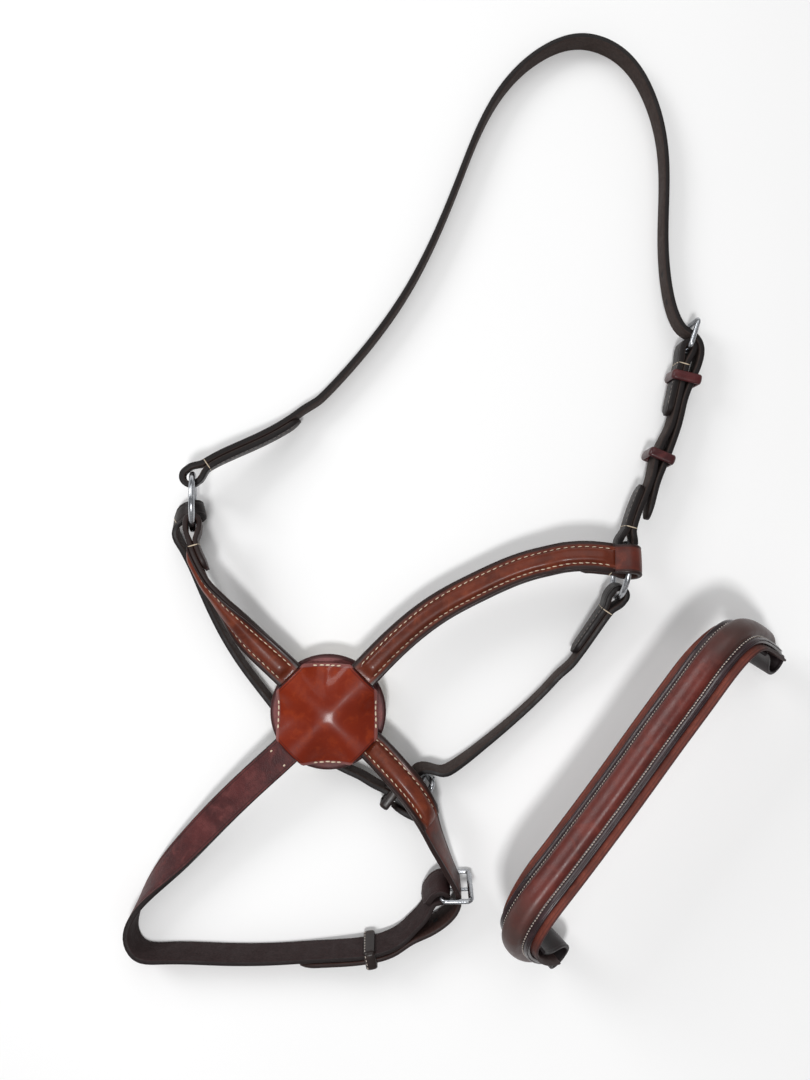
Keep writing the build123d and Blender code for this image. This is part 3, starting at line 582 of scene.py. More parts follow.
# ---- materials -------------------------------------------------------------------------
class Graph:
    """One material and short calls for the nodes that its colour, roughness and bump are made of."""

    def __init__(self, name):
        self.mat = bpy.data.materials.new(name)
        self.mat.use_nodes = True
        self.t = self.mat.node_tree
        self.bsdf = next(x for x in self.t.nodes if x.type == "BSDF_PRINCIPLED")
        self.coord = self.t.nodes.new("ShaderNodeTexCoord").outputs["Object"]

    def link(self, a, b):
        self.t.links.new(a, b)

    def put(self, socket, value):
        if isinstance(value, bpy.types.NodeSocket):
            self.link(value, socket)
        else:
            socket.default_value = value

    def noise(self, scale, detail=3.0, rough=0.55, stretch=None, distort=0.0):
        n = self.t.nodes.new("ShaderNodeTexNoise")
        n.inputs["Scale"].default_value = scale
        n.inputs["Detail"].default_value = detail
        n.inputs["Roughness"].default_value = rough
        n.inputs["Distortion"].default_value = distort
        src = self.coord
        if stretch is not None:
            m = self.t.nodes.new("ShaderNodeMapping")
            m.inputs["Scale"].default_value = stretch
            self.link(self.coord, m.inputs["Vector"])
            src = m.outputs["Vector"]
        self.link(src, n.inputs["Vector"])
        return n.outputs["Fac"]

    def voronoi(self, scale):
        n = self.t.nodes.new("ShaderNodeTexVoronoi")
        n.inputs["Scale"].default_value = scale
        self.link(self.coord, n.inputs["Vector"])
        return n.outputs["Distance"]

    def ramp(self, value, lo, hi, a=0.0, b=1.0):
        """Goes smoothly from a to b as the value goes from lo to hi."""
        n = self.t.nodes.new("ShaderNodeMapRange")
        n.interpolation_type = "SMOOTHSTEP"
        self.link(value, n.inputs["Value"])
        for k, v in (("From Min", lo), ("From Max", hi), ("To Min", a), ("To Max", b)):
            n.inputs[k].default_value = v
        return n.outputs["Result"]

    def math(self, op, a, b=0.0):
        n = self.t.nodes.new("ShaderNodeMath")
        n.operation = op
        self.put(n.inputs[0], a)
        self.put(n.inputs[1], b)
        return n.outputs[0]

    def mix(self, fac, a, b):
        """Colour between a and b, each a colour or another node's output."""
        n = self.t.nodes.new("ShaderNodeMix")
        n.data_type = "RGBA"
        self.put(n.inputs["Factor"], fac)
        for key, v in (("A", a), ("B", b)):
            sock = next(x for x in n.inputs if x.name == key and x.type == "RGBA")
            self.put(sock, v if isinstance(v, bpy.types.NodeSocket) else (*v, 1.0))
        return next(x for x in n.outputs if x.type == "RGBA")

    def strap(self):
        """Along, across and out of the strap, in millimetres."""
        a = self.t.nodes.new("ShaderNodeAttribute")
        a.attribute_name = "strap"
        x = self.t.nodes.new("ShaderNodeSeparateXYZ")
        self.link(a.outputs["Vector"], x.inputs[0])
        return x.outputs[0], x.outputs[1], x.outputs[2]

    def bump(self, height, distance, strength=1.0, after=None):
        b = self.t.nodes.new("ShaderNodeBump")
        b.inputs["Distance"].default_value = distance
        b.inputs["Strength"].default_value = strength
        self.link(height, b.inputs["Height"])
        if after is not None:
            self.link(after, b.inputs["Normal"])
        return b.outputs["Normal"]

    def done(self, colour, rough, normal=None, metallic=0.0, coat=0.0, coat_rough=0.2, spec=0.5,
             sheen=0.0):
        self.put(self.bsdf.inputs["Base Color"], colour)
        self.put(self.bsdf.inputs["Roughness"], rough)
        self.bsdf.inputs["Metallic"].default_value = metallic
        self.bsdf.inputs["Coat Weight"].default_value = coat
        self.bsdf.inputs["Coat Roughness"].default_value = coat_rough
        self.bsdf.inputs["Specular IOR Level"].default_value = spec
        self.bsdf.inputs["Sheen Weight"].default_value = sheen
        if normal is not None:
            self.link(normal, self.bsdf.inputs["Normal"])
        return self.mat


def srgb(*c):
    """Linear colour from 0 to 255 screen values."""
    c = [x / 255 for x in c]
    return tuple(x / 12.92 if x <= 0.04045 else ((x + 0.055) / 1.055) ** 2.4 for x in c)


def leather(name, dark, mid, light, rough=0.36, coat=0.25, coat_rough=0.22, half=None, band=1.3,
            edge=(18, 10, 10), flesh=None, flesh_below=0.0, grain=0.00007, mottle=42.0, spec=0.3,
            border=None, ends=None):
    """Bridle leather: clouded dye, pebble grain, streaks, dark burnished edges and a rougher flesh side.

    half and band place the dark edge, flesh is the colour below flesh_below, border is (distance, colour)
    beyond the seam, and ends is (start offset, strap length, length of the plain dark end, its colour).
    """
    g = Graph(name)
    cloud = g.noise(mottle, 4.0, 0.6)
    streak = g.noise(130.0, 3.0, 0.6, distort=0.6)
    pore = g.noise(1500.0, 2.0, 0.6)
    pebble = g.voronoi(1150.0)
    colour = g.mix(g.ramp(cloud, 0.32, 0.68), srgb(*dark), srgb(*mid))
    colour = g.mix(g.ramp(streak, 0.45, 0.75, 0.0, 0.55), colour, srgb(*light))
    colour = g.mix(g.ramp(pore, 0.35, 0.65, 0.0, 0.3), colour, srgb(*dark))
    rough_map = g.ramp(streak, 0.3, 0.7, rough - 0.05, rough + 0.10)
    if half is not None:
        s, across, out = g.strap()
        side = g.math("ABSOLUTE", across)
        wobble = g.math("MULTIPLY", g.math("SUBTRACT", g.noise(260.0, 2.0), 0.5), 0.5)
        at_edge = g.ramp(g.math("ADD", side, wobble), half - band, half - band * 0.35)
        colour = g.mix(at_edge, colour, srgb(*edge))
        crease = g.math("ABSOLUTE", g.math("SUBTRACT", side, half - 1.9))
        line = g.ramp(crease, 0.12, 0.4, 0.6, 0.0)
        colour = g.mix(line, colour, srgb(*edge))
        if border is not None:
            beyond = g.ramp(out, border[0], border[0] + 0.8)
            colour = g.mix(beyond, colour, srgb(*border[1]))
            rough_map = g.math("ADD", rough_map, g.math("MULTIPLY", beyond, 0.2))
        if ends is not None:
            start, length, plain, tint = ends
            # darker and rougher towards the ends, with a noisy boundary
            near_end = g.math("MINIMUM", g.math("ADD", s, start), g.math("SUBTRACT", length, s))
            patch_noise = g.math("MULTIPLY", g.math("SUBTRACT", g.noise(60.0, 2.0), 0.5), 24.0)
            dull = g.ramp(g.math("ADD", near_end, patch_noise), plain - 34.0, plain, 1.0, 0.0)
            colour = g.mix(g.math("MULTIPLY", dull, 0.85), colour, srgb(*tint))
            rough_map = g.math("ADD", rough_map, g.math("MULTIPLY", dull, 0.12))
        if flesh is not None:
            under = g.ramp(out, flesh_below - 0.25, flesh_below + 0.05, 1.0, 0.0)
            pale = srgb(*[min(255, c * 1.35) for c in flesh])
            fibre = g.mix(g.ramp(g.noise(700.0, 4.0, 0.7), 0.3, 0.7), srgb(*flesh), pale)
            colour = g.mix(under, colour, fibre)
            rough_map = g.math("ADD", rough_map, g.math("MULTIPLY", under, 0.3))
    normal = g.bump(pebble, grain, 0.7)
    normal = g.bump(g.noise(420.0, 3.0, 0.6), grain * 1.5, 0.5, normal)
    return g.done(colour, rough_map, normal, coat=coat, coat_rough=coat_rough, spec=spec)


def thread(name, a, b):
    g = Graph(name)
    twist = g.noise(2400.0, 2.0, 0.5)
    patch_noise = g.noise(90.0, 2.0, 0.5)
    colour = g.mix(g.ramp(twist, 0.35, 0.65), srgb(*a), srgb(*b))
    colour = g.mix(g.ramp(patch_noise, 0.5, 0.7, 0.0, 0.35), colour, srgb(*[c * 0.7 for c in a]))
    return g.done(colour, g.ramp(twist, 0.3, 0.7, 0.55, 0.8), g.bump(twist, 0.00012, 0.8), sheen=0.2)


def metal(name):
    g = Graph(name)
    patch_noise = g.noise(170.0, 4.0, 0.65)
    line = g.noise(900.0, 3.0, 0.6, stretch=(1.0, 1.0, 0.25))
    colour = g.mix(g.ramp(patch_noise, 0.35, 0.7), srgb(158, 161, 166), srgb(196, 198, 201))
    colour = g.mix(g.ramp(line, 0.55, 0.7, 0.0, 0.4), colour, srgb(84, 86, 92))
    return g.done(colour, g.ramp(patch_noise, 0.3, 0.7, 0.16, 0.34), g.bump(line, 0.00003, 0.5), metallic=1.0)


def felt(name):
    g = Graph(name)
    fuzz = g.noise(900.0, 5.0, 0.75)
    tuft = g.noise(160.0, 3.0, 0.6)
    colour = g.mix(g.ramp(fuzz, 0.3, 0.7), srgb(202, 194, 178), srgb(234, 228, 215))
    colour = g.mix(g.ramp(tuft, 0.4, 0.7, 0.0, 0.4), colour, srgb(180, 170, 152))
    return g.done(colour, g.ramp(fuzz, 0.2, 0.8, 0.85, 1.0), g.bump(fuzz, 0.0004, 0.9), sheen=0.4)


chin_path = looped(CHIN, CHIN_T, None, CHIN_EYE)
nose_left_path = looped(NOSE_LEFT, NOSE_T, NOSE_LEFT_EYE)
BLACK = leather("black_bridle_leather", (20, 14, 14), (31, 23, 22), (50, 39, 37), rough=0.44, coat=0.0,
                spec=0.25, half=SLIM_W / 2, edge=(22, 17, 17), flesh=(44, 35, 32), flesh_below=-1.0)
RED = leather("red_nose_leather", (62, 24, 17), (96, 38, 26), (122, 56, 39), rough=0.4, coat=0.05, spec=0.3,
              half=NOSE_W / 2, band=2.4, edge=(32, 14, 12), flesh=(44, 27, 23), flesh_below=-0.9,
              ends=(0.0, distance_along(nose_left_path[0])[-1], 145.0, (34, 21, 19)))
RAISED = leather("raised_nose_leather", (78, 29, 14), (105, 42, 21), (132, 62, 35), rough=0.4, coat=0.16,
                 coat_rough=0.16, spec=0.22, half=NOSE_W / 2, band=3.7, edge=(34, 15, 12))
CHIN_LEATHER = leather("chin_leather", (58, 22, 24), (88, 38, 38), (114, 60, 58), rough=0.5, coat=0.0,
                       spec=0.3, half=CHIN_W / 2, band=0.9, edge=(24, 14, 14), flesh=(36, 25, 25),
                       flesh_below=-1.1, grain=0.00022,
                       ends=(900.0, distance_along(chin_path[0])[-1], 74.0, (34, 22, 22)))
KEEPER = leather("keeper_leather", (48, 14, 17), (74, 22, 25), (100, 42, 42), rough=0.34, coat=0.15, spec=0.3)
DARK_KEEPER = leather("dark_keeper_leather", (24, 16, 15), (36, 25, 22), (60, 44, 38), rough=0.4, coat=0.1,
                      spec=0.3)
TAN = leather("rosette_leather", (106, 26, 3), (130, 38, 5), (146, 52, 10), rough=0.4, coat=0.2, spec=0.16,
              coat_rough=0.15, mottle=16.0, grain=0.00004, half=31.9, band=1.3, edge=(58, 12, 8),
              border=(28.7, (128, 74, 70)))
RIM = leather("rosette_rim_leather", (88, 42, 42), (122, 68, 68), (150, 96, 92), rough=0.5, coat=0.0,
              spec=0.3, grain=0.00016, half=36.0, band=2.6, edge=(52, 14, 14))
ROLL = leather("browband_roll_leather", (76, 24, 18), (102, 37, 28), (124, 56, 45), rough=0.38, coat=0.14,
               coat_rough=0.32, spec=0.35, half=30.0, ends=(0.0, BROW_LEN, 88.0, (62, 46, 42)))
FLANGE = leather("browband_flange_leather", (30, 17, 20), (46, 27, 31), (68, 42, 46), rough=0.3, coat=0.2,
                 coat_rough=0.2, spec=0.3)
LINING = leather("browband_lining_leather", (86, 36, 26), (116, 54, 40), (140, 74, 58), rough=0.55, coat=0.0,
                 spec=0.3, grain=0.00013, half=15.7, band=1.0, edge=(70, 32, 28),
                 ends=(0.0, BROW_LEN, 70.0, (34, 24, 23)))
LOOP = leather("browband_loop_leather", (20, 15, 16), (32, 23, 25), (54, 42, 44), rough=0.45, coat=0.0,
               spec=0.25)
CREAM = thread("cream_thread", (196, 174, 146), (228, 212, 188))
PALE = thread("pale_thread", (168, 152, 140), (214, 204, 194))
DIM = thread("dim_thread", (92, 82, 78), (140, 128, 122))
STEEL = metal("nickel_plate")
FELT = felt("cream_felt")
# painted shade: near-black colour standing for the shaded opening of each punched hole
HOLE_SHADE = leather("punched_hole_painted_shade", (10, 7, 7), (16, 11, 11), (26, 18, 18), rough=0.7, coat=0.0)


def place(obj, body, slot, *nodes):
    """Let a piece ride on its body, in place of the CAD nodes that it stands for; slot is not used."""
    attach(obj, body)
    if nodes:
        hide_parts(*nodes)
    return obj


# ---- slim straps -----------------------------------------------------------------------
for name, path, start_tip, end_tip, node in (
        ("headpiece", looped(HEAD, SLIM_T, HEAD_EYE), 7.0, 10.0, "headpiece_strap"),
        ("cheek", looped(CHEEK, SLIM_T, *CHEEK_EYES), 6.0, 6.0, "cheek_strap"),
        ("jaw_right", looped(JAW_RIGHT, SLIM_T, JAW_RIGHT_EYE), 6.0, 9.0, "jaw_strap_right")):
    place(sweep(name, path, strap_outline(SLIM_W, SLIM_T, start_tip, end_tip), BLACK),
          "straps", "black_leather", node)


def jaw_left_outline(s, length):
    """The left jaw strap, narrower where it passes the ring beside the nose strap."""
    return strap_loop(5.5 + smooth01((s - 26.0) / 16.0), SLIM_T / 2)


place(sweep("jaw_left", looped(JAW_LEFT, SLIM_T, *JAW_LEFT_EYES), jaw_left_outline, BLACK),
      "straps", "black_leather", "jaw_strap_left")

dark_bits = Bits()
white_bits = Bits()


def ply_stitches(r, first, last):
    """Rows of stitches through both plies of a slim strap, seen on the outer face of each."""
    inset = SLIM_W / 2 - 2.1
    top = (SLIM_T + PLY_GAP) / 2 + SLIM_T / 2
    for across in (inset, -inset):
        for out in (top, -top):
            stitch_row(dark_bits, r, across, out, first, last, 3.2, 2.1, 0.3)


ply_stitches(HEAD, 12.0, HEAD_EYE["length"] - 5)
ply_stitches(CHEEK, 12.0, CHEEK_EYES[0]["length"] - 5)
ply_stitches(CHEEK, CHEEK_LEN - CHEEK_EYES[1]["length"] + 5, CHEEK_LEN - 12.0)
ply_stitches(JAW_RIGHT, 12.0, JAW_RIGHT_EYE["length"] - 5)
place(dark_bits.made("slim_strap_stitches", DIM), "straps", "black_leather")
for r, at, width, thick in ((HEAD, 11.5, SLIM_W, SLIM_T), (CHEEK, 11.5, SLIM_W, SLIM_T),
                            (CHEEK, CHEEK_LEN - 11.5, SLIM_W, SLIM_T), (JAW_RIGHT, 11.5, SLIM_W, SLIM_T),
                            (JAW_LEFT, 11.0, 11.0, SLIM_T), (NOSE_LEFT, 12.0, NOSE_W, NOSE_T),
                            (NOSE_RIGHT, NOSE_RIGHT_LEN - 12.0, NOSE_W, NOSE_T)):
    bind(white_bits, r, at, width, thick)

holes = Bits()


def punch(r, thick, where):
    """Billet holes, on both faces of a strap, as dishes of painted shade."""
    p, t, w, n = r
    s = distance_along(p)
    for v in where:
        i = int(np.argmin(abs(s - v)))
        holes.disc(p[i] + n[i] * (thick / 2 + 0.16), t[i], w[i], n[i], HOLE_R)
        holes.disc(p[i] - n[i] * (thick / 2 + 0.01), t[i], -w[i], -n[i], HOLE_R)


punch(HEAD, SLIM_T, [HEAD_LEN - v for v in (16, 150, 168)])
punch(NOSE_LEFT, NOSE_T, [NOSE_LEFT_LEN - v for v in (22, 45.5, 69, 92.5)])
punch(JAW_RIGHT, SLIM_T, [JAW_RIGHT_LEN - v for v in (12, 58)])
place(holes.made("billet_holes", HOLE_SHADE), "straps", "black_leather")

# ---- chin strap ------------------------------------------------------------------------
place(sweep("chin", chin_path, strap_outline(CHIN_W, CHIN_T, 0.0, 3.0, 0.6), CHIN_LEATHER),
      "straps", "brown_leather", "chin_strap")
p, t, w, n = CHIN
i = int(np.argmin(abs(distance_along(p) - 36.2)))     # where it leaves the rosette
for across in (CHIN_W / 2 - 3.6, 3.6 - CHIN_W / 2):
    white_bits.pod(p[i] + w[i] * across + n[i] * (CHIN_T / 2 + 0.12), t[i], w[i], n[i], 0.8, 0.6)
for across in (CHIN_W / 2 - 2.6, 2.6 - CHIN_W / 2):
    stitch_row(white_bits, over_strap(CHIN, CHIN_T, None, CHIN_EYE), across, CHIN_T / 2 + 0.02,
               CHIN_LEN - 17.0, CHIN_LEN - 5.0, 3.4, 2.2, 0.34)

# ---- raised nose straps ----------------------------------------------------------------
COVER_LOW = NOSE_T / 2 + 0.1                 # under side of the cover leather
COVER_FLAT = NOSE_T / 2 + 0.25 + COVER_T     # top of its flat edges


def raised_outline(lift_at):
    """Cover leather drawn over its cord: flat stitched edges, a gutter each side, a round middle."""
    def outline(s, length):
        lift = lift_at(s)
        a, k, rise = NOSE_W / 2, RAISE_HALF, COVER_FLAT - COVER_LOW - 0.25
        end = max(0.0, min(1.0, s / 2.5, (length - s) / 2.5))
        low = COVER_LOW + 0.25 + rise * (0.35 + 0.65 * end)
        right = [(a - 0.05, COVER_LOW), (a, COVER_LOW + 0.4), (a - 0.1, low - 0.35), (a - 0.5, low - 0.04),
                 (a - 1.4, low), (k + 2.3, low - 0.02), (k + 1.5, low - 0.2 * lift),
                 (k + 0.9, low - 0.42 * lift - 0.1), (k + 0.35, low - 0.2 * lift)]
        hump = []
        for ang in np.radians(np.linspace(14, 166, 13)):
            c, si = math.cos(ang), math.sin(ang)
            top = low + (RAISE_H + 0.15) * lift * si ** 0.8 - 0.06
            hump.append((k * 1.02 * math.copysign(abs(c) ** 0.85, c), top))
        return right + hump + [(-x, y) for x, y in right[::-1]]
    return outline


def lift_rule(s0, s1, flats):
    """How far the cover is raised: not at its ends, nor where the rosette presses it flat."""
    def lift(v):
        v = v + s0
        k = min(1.0, (v - s0) / 9 + 0.1, (s1 - v) / 9 + 0.1)
        for a, b in flats:
            k = min(k, 0.0 if a <= v <= b else min(abs(v - a), abs(v - b)) / 5)
        return smooth01(max(k, 0.0))
    return lift


def nose_stitches(bits, frames, first, last):
    """A row of stitches in each gutter beside the raised middle."""
    for across, skew in ((5.25, 0.10), (-5.25, -0.10)):
        stitch_row(bits, frames, across, COVER_FLAT - 0.1, first, last, 3.9, 2.5, 0.31, skew)


nose_right_path = looped(NOSE_RIGHT, NOSE_T, None, NOSE_RIGHT_EYE)
place(sweep("nose_left", nose_left_path, strap_outline(NOSE_W, NOSE_T, 6.0, 12.0), RED),
      "straps", "red_leather", "nose_strap_left")
place(sweep("nose_right", nose_right_path, strap_outline(NOSE_W, NOSE_T, 0.0, 6.0), RED),
      "straps", "red_leather", "nose_strap_right")

LEFT_START = 13.0
left_frames = over_strap(NOSE_LEFT, NOSE_T, NOSE_LEFT_EYE)
left_mid = near(NOSE_LEFT, ROSETTE[0], ROSETTE[1])
left_stop = near(NOSE_LEFT, -14.0, -199.0)
left_flats = [(left_mid - 33.0, left_mid + 33.0)]
place(sweep("nose_left_raised", cut(left_frames, LEFT_START, left_stop),
            raised_outline(lift_rule(LEFT_START, left_stop, left_flats)), RAISED, longest=2.0, turn=6.0),
      "straps", "red_leather", "nose_strap_left_cover", "nose_strap_left_filler")
right_frames = over_strap(NOSE_RIGHT, NOSE_T, None, NOSE_RIGHT_EYE)
right_stop = NOSE_RIGHT_LEN - 9.0
place(sweep("nose_right_raised", cut(right_frames, 0.0, right_stop),
            raised_outline(lift_rule(0.0, right_stop, [(0.0, 31.0)])), RAISED, longest=2.0, turn=6.0),
      "straps", "red_leather", "nose_strap_right_cover", "nose_strap_right_filler")
nose_bits = Bits()
nose_stitches(nose_bits, left_frames, LEFT_START + 4, left_mid - 33.5)
nose_stitches(nose_bits, left_frames, left_mid + 33.5, left_stop - 4)
nose_stitches(nose_bits, right_frames, 33.0, right_stop - 3)
place(nose_bits.made("nose_strap_stitches", CREAM), "straps", "red_leather")
place(white_bits.made("binding_stitches", CREAM), "straps", "black_leather")


# ---- keepers ---------------------------------------------------------------------------
def keeper(name, r, at, low, high, width, length, body, node, material, stitched=False):
    """Leather loop round a strap from low to high on it: rounded walls, burnished lips, edge stitches."""
    p, t, w, n = r
    i = int(np.argmin(abs(distance_along(p) - at)))
    mid = p[i] + n[i] * (low + high) / 2
    a, b, h = (width + 0.8) / 2 + KEEPER_WALL, (high - low) / 2 + KEEPER_WALL, length / 2
    path = rounded_loop(-a, a, b, 2.4, 7, 1.6)
    tang = unit(np.roll(path, -1, axis=0) - np.roll(path, 1, axis=0))
    norm = np.stack([tang[:, 1], -tang[:, 0]], axis=1)
    inner = -KEEPER_WALL
    section = [(-0.05, -h + 1.1), (-0.35, -h + 0.45), (-0.8, -h + 0.05), (inner + 0.3, -h), (inner, -h + 0.3),
               (inner, 0.0), (inner, h - 0.3), (inner + 0.3, h), (-0.8, h - 0.05), (-0.35, h - 0.45),
               (-0.05, h - 1.1), (0.1, h * 0.45), (0.16, 0.0), (0.1, -h * 0.45)]
    verts = []
    for q, outward in zip(path, norm):
        for out, along in section:
            x, y = q + outward * out
            verts.append(mid + w[i] * x + n[i] * y + t[i] * along)
    faces = loft_faces(len(path), len(section), closed=True)
    place(add_mesh(name, verts, faces, material), body, "red_leather", node)
    if stitched:
        bits = Bits()
        row = mid + t[i] * (1.1 - h)
        for sign in (-1, 1):
            for x in np.arange(-a + 2.6, a - 2.2, 2.6):
                bits.pod(row + w[i] * x + n[i] * sign * (b + 0.12), w[i], t[i], n[i], 0.8, 0.26)
            for y in np.arange(-b + 2.2, b - 1.6, 2.6):
                bits.pod(row + w[i] * sign * (a + 0.12) + n[i] * y, n[i], t[i], w[i], 0.8, 0.26)
        place(bits.made(name + "_stitches", PALE), body, "red_leather")


keeper("fixed_keeper", CHEEK, 19.0, -4.2, 11.0, SLIM_W, 6.2, "straps", "headpiece_fixed_keeper", KEEPER)
keeper("runner_keeper", CHEEK, 71.0, -4.6, 8.8, SLIM_W + 0.4, 6.2, "headpiece_runner",
       "headpiece_runner_keeper", KEEPER)
keeper("chin_loop_keeper", CHIN, CHIN_LEN - 62.0, -2.5, 6.4, CHIN_W + 0.3, 7.0, "chin_runner", "chin_keeper",
       DARK_KEEPER, stitched=True)
keeper("jaw_loop_keeper", JAW_LEFT, JAW_LEFT_LEN - 17.0, -4.1, 9.6, SLIM_W, 6.0, "straps", "jaw_keeper",
       DARK_KEEPER)


# ---- rings and buckles -----------------------------------------------------------------
def ring(name, centre, along, up, body, node):
    pts = [centre + RING_R * (along * math.cos(a) + up * math.sin(a))
           for a in np.linspace(0, 2 * math.pi, 120, endpoint=False)]
    place(tube(name, pts, RING_WIRE, STEEL, np.cross(along, up), closed=True, sides=28),
          body, "steel", node)


ring("cheek_ring_left", LEFT_RING, L_ALONG, L_UP, "left_ring", "left_ring")
ring("cheek_ring_right", RIGHT_RING, R_ALONG, R_UP, "right_ring", "right_ring")


def buckle(key, rear, ahead, across, out, size):
    """Wire frame, thicker on the bar that the tongue rests on, and a tongue hooked round its rear bar."""
    length, width = size
    path = rounded_loop(0.0, length, width / 2, 2.6, 9, 1.2)
    pts = [rear + ahead * x + across * y for x, y in path]
    radii = [BAR_R * (1.0 + 0.12 * math.exp(-((x - length) / 2.2) ** 2) * (abs(y) < width / 2 - 2)
                      - 0.04 * (x < 1.0)) for x, y in path]
    place(tube(key + "_frame", pts, radii, STEEL, out, closed=True, sides=22),
          "straps", "steel", key + "_buckle_frame")
    hook = [rear + (BAR_R + HOOK_R - 0.05) * (out * math.cos(a) - ahead * math.sin(a))
            for a in np.linspace(4.4, 0.25, 22)]
    rest = BAR_R + TONGUE_R + 0.06
    shank = []
    for x in np.linspace(1.0, length + 2.0, 24):
        lift = rest + 0.35 * math.sin(math.pi * min(1.0, x / length)) - 0.15 * max(0.0, x - length)
        shank.append(rear + ahead * x + out * lift)
    pts = np.array(hook + shank)
    s = distance_along(pts)
    radii = HOOK_R + (TONGUE_R - HOOK_R) * smooth01((s - 8) / 6) - 0.45 * smooth01((s - s[-1] + 3.0) / 3.0)
    place(tube(key + "_tongue_pin", pts, radii, STEEL, across, sides=16),
          key + "_tongue", "steel", key + "_buckle_tongue")


buckle("headpiece", HEAD_REAR, HEAD_AHEAD, HEAD_ACROSS, HEAD_OUT, SLIM_FRAME)
buckle("jaw", JAW_REAR, JAW_AHEAD, JAW_ACROSS, JAW_OUT, SLIM_FRAME)
buckle("chin", CHIN_REAR, CHIN_AHEAD, CHIN_ACROSS, CHIN_OUT, WIDE_FRAME)


# ---- rosette ---------------------------------------------------------------------------
def disc(name, radius, z0, z1, material, soft, ripple=0.0):
    """Round leather or felt disc with a rolled edge."""
    turns = 128
    rho = np.concatenate([np.linspace(0.02, 0.9, 9), [0.95, 0.98, 0.995, 1.0]])
    h, mid = (z1 - z0) / 2, (z0 + z1) / 2
    verts, data = [], []
    for side in (1, -1):
        for q in rho:
            x = min(1.0, max(0.0, (q * radius - (radius - soft)) / soft))
            z = mid + side * (h - h * (1 - math.sqrt(1 - x ** 2)))
            for a in 2 * math.pi * np.arange(turns) / turns:
                wave = ripple * math.sin(5 * a + 1.0) * q + ripple * 0.6 * math.sin(11 * a) * q * q
                verts.append(ROSETTE + [q * radius * math.cos(a), q * radius * math.sin(a), z + wave])
                data.append((a, q * radius, side))
    faces = round_faces(verts, data, len(rho), turns, [ROSETTE + Z * (mid + h), ROSETTE + Z * (mid - h)])
    return add_mesh(name, verts, faces, material, data)


SEWN_SIDE, STRAP_SIDE = 31.0, 32.3           # middle of the rosette to the octagon's sides
pad = disc("rosette_felt_pad", 35.5, 14.2, 17.25, FELT, 1.4, 0.12)
place(pad, "straps", "felt", "rosette_pad")
place(disc("rosette_base_disc", 36.0, 17.4, 20.25, RIM, 1.2), "straps", "tan_leather", "rosette_base")


def cover_reach(a):
    """Outline of the octagon: cut square across each strap, stitched flat between them."""
    return min((SEWN_SIDE if k % 2 == 0 else STRAP_SIDE) / max(0.2, math.cos(a - math.radians(45 * k)))
               for k in range(8))


def strap_tops(r, rise):
    """Middle line and top face of a strap where it crosses the rosette."""
    p = r[0] - ROSETTE
    crossing = p[np.hypot(p[:, 0], p[:, 1]) < 45]
    return crossing[:, :2], crossing[:, 2] + rise


CROSSING = [strap_tops(NOSE_RIGHT, COVER_FLAT), strap_tops(NOSE_LEFT, COVER_FLAT),
            strap_tops(CHIN, CHIN_T / 2 + 0.15)]
CROWN, SEAM = 34.0, 22.6                     # heights of the octagon's middle and of its sewn sides


def taut_height(x, y):
    """Top of the leather drawn tight over the crossing straps and stitched flat to the disc between them."""
    r, a = math.hypot(x, y), math.atan2(y, x)
    cx, cy = max(abs(x), abs(y)), min(abs(x), abs(y))
    crown = CROWN - 2.0 * (r * r / (r + 10)) / 24.4 - 0.8 * (r / 32) ** 2 * (1 - math.sin(2 * a))
    fall = min(1.0, max(0.0, (r - 6.0) / 23.5)) ** 1.25
    valley = ((math.cos(4 * a) + 1) / 2) ** 1.4 * fall
    border = smooth01((cx - 24.2) / 4.6) * (1 - smooth01((cy - 6.8) / 6.2))
    h = crown + (SEAM - crown) * (1 - (1 - valley) * (1 - border))
    for middle, top in CROSSING:
        d = np.hypot(middle[:, 0] - x, middle[:, 1] - y)
        k = int(np.argmin(d))
        need = top[k] + 1.1 - 0.08 * max(0.0, d[k] - 7.6) ** 2
        h = (h + need + math.sqrt((h - need) ** 2 + 1.2)) / 2
    return h


def relaxed(heights, passes):
    """The same heights with the leather's own stiffness rounding every fold off."""
    for _ in range(passes):
        for _ in range(2):
            edge = np.pad(heights, ((1, 1), (0, 0)), mode="edge")
            heights = ((edge[:-2] + 2 * heights + edge[2:]) / 4).T
    return heights


COVER_GRID = np.arange(-40.0, 41.0)
COVER_TOP = relaxed(np.array([[taut_height(x, y) for x in COVER_GRID] for y in COVER_GRID]), 14) + 0.5


def cover_height(x, y):
    """Top of the octagon at a point measured from its middle."""
    i, j = int(x - COVER_GRID[0]), int(y - COVER_GRID[0])
    u, v = x - COVER_GRID[i], y - COVER_GRID[j]
    low = COVER_TOP[j, i] * (1 - u) + COVER_TOP[j, i + 1] * u
    high = COVER_TOP[j + 1, i] * (1 - u) + COVER_TOP[j + 1, i + 1] * u
    return low * (1 - v) + high * v


def rosette_cover():
    """The octagon's skin, with a skived edge."""
    turns, rings = 176, 40
    verts, data = [], []
    for layer in (0, 1):
        for q in np.arange(1, rings + 1) / rings:
            edge = max(0.0, (q - 0.955) / 0.045)
            drop = 0.75 * edge * edge + layer * OCTAGON_T * (1 - 0.4 * edge)
            for a in 2 * math.pi * np.arange(turns) / turns:
                reach = cover_reach(a)
                x, y = reach * q * math.cos(a), reach * q * math.sin(a)
                verts.append(ROSETTE + [x, y, cover_height(x, y) - drop])
                data.append((reach * q, 31.9 - reach * (1 - q), max(abs(x), abs(y))))
    top = ROSETTE + Z * cover_height(0, 0)
    faces = round_faces(verts, data, rings, turns, [top, top - Z * OCTAGON_T])
    return add_mesh("rosette_octagon", verts, faces, TAN, data)


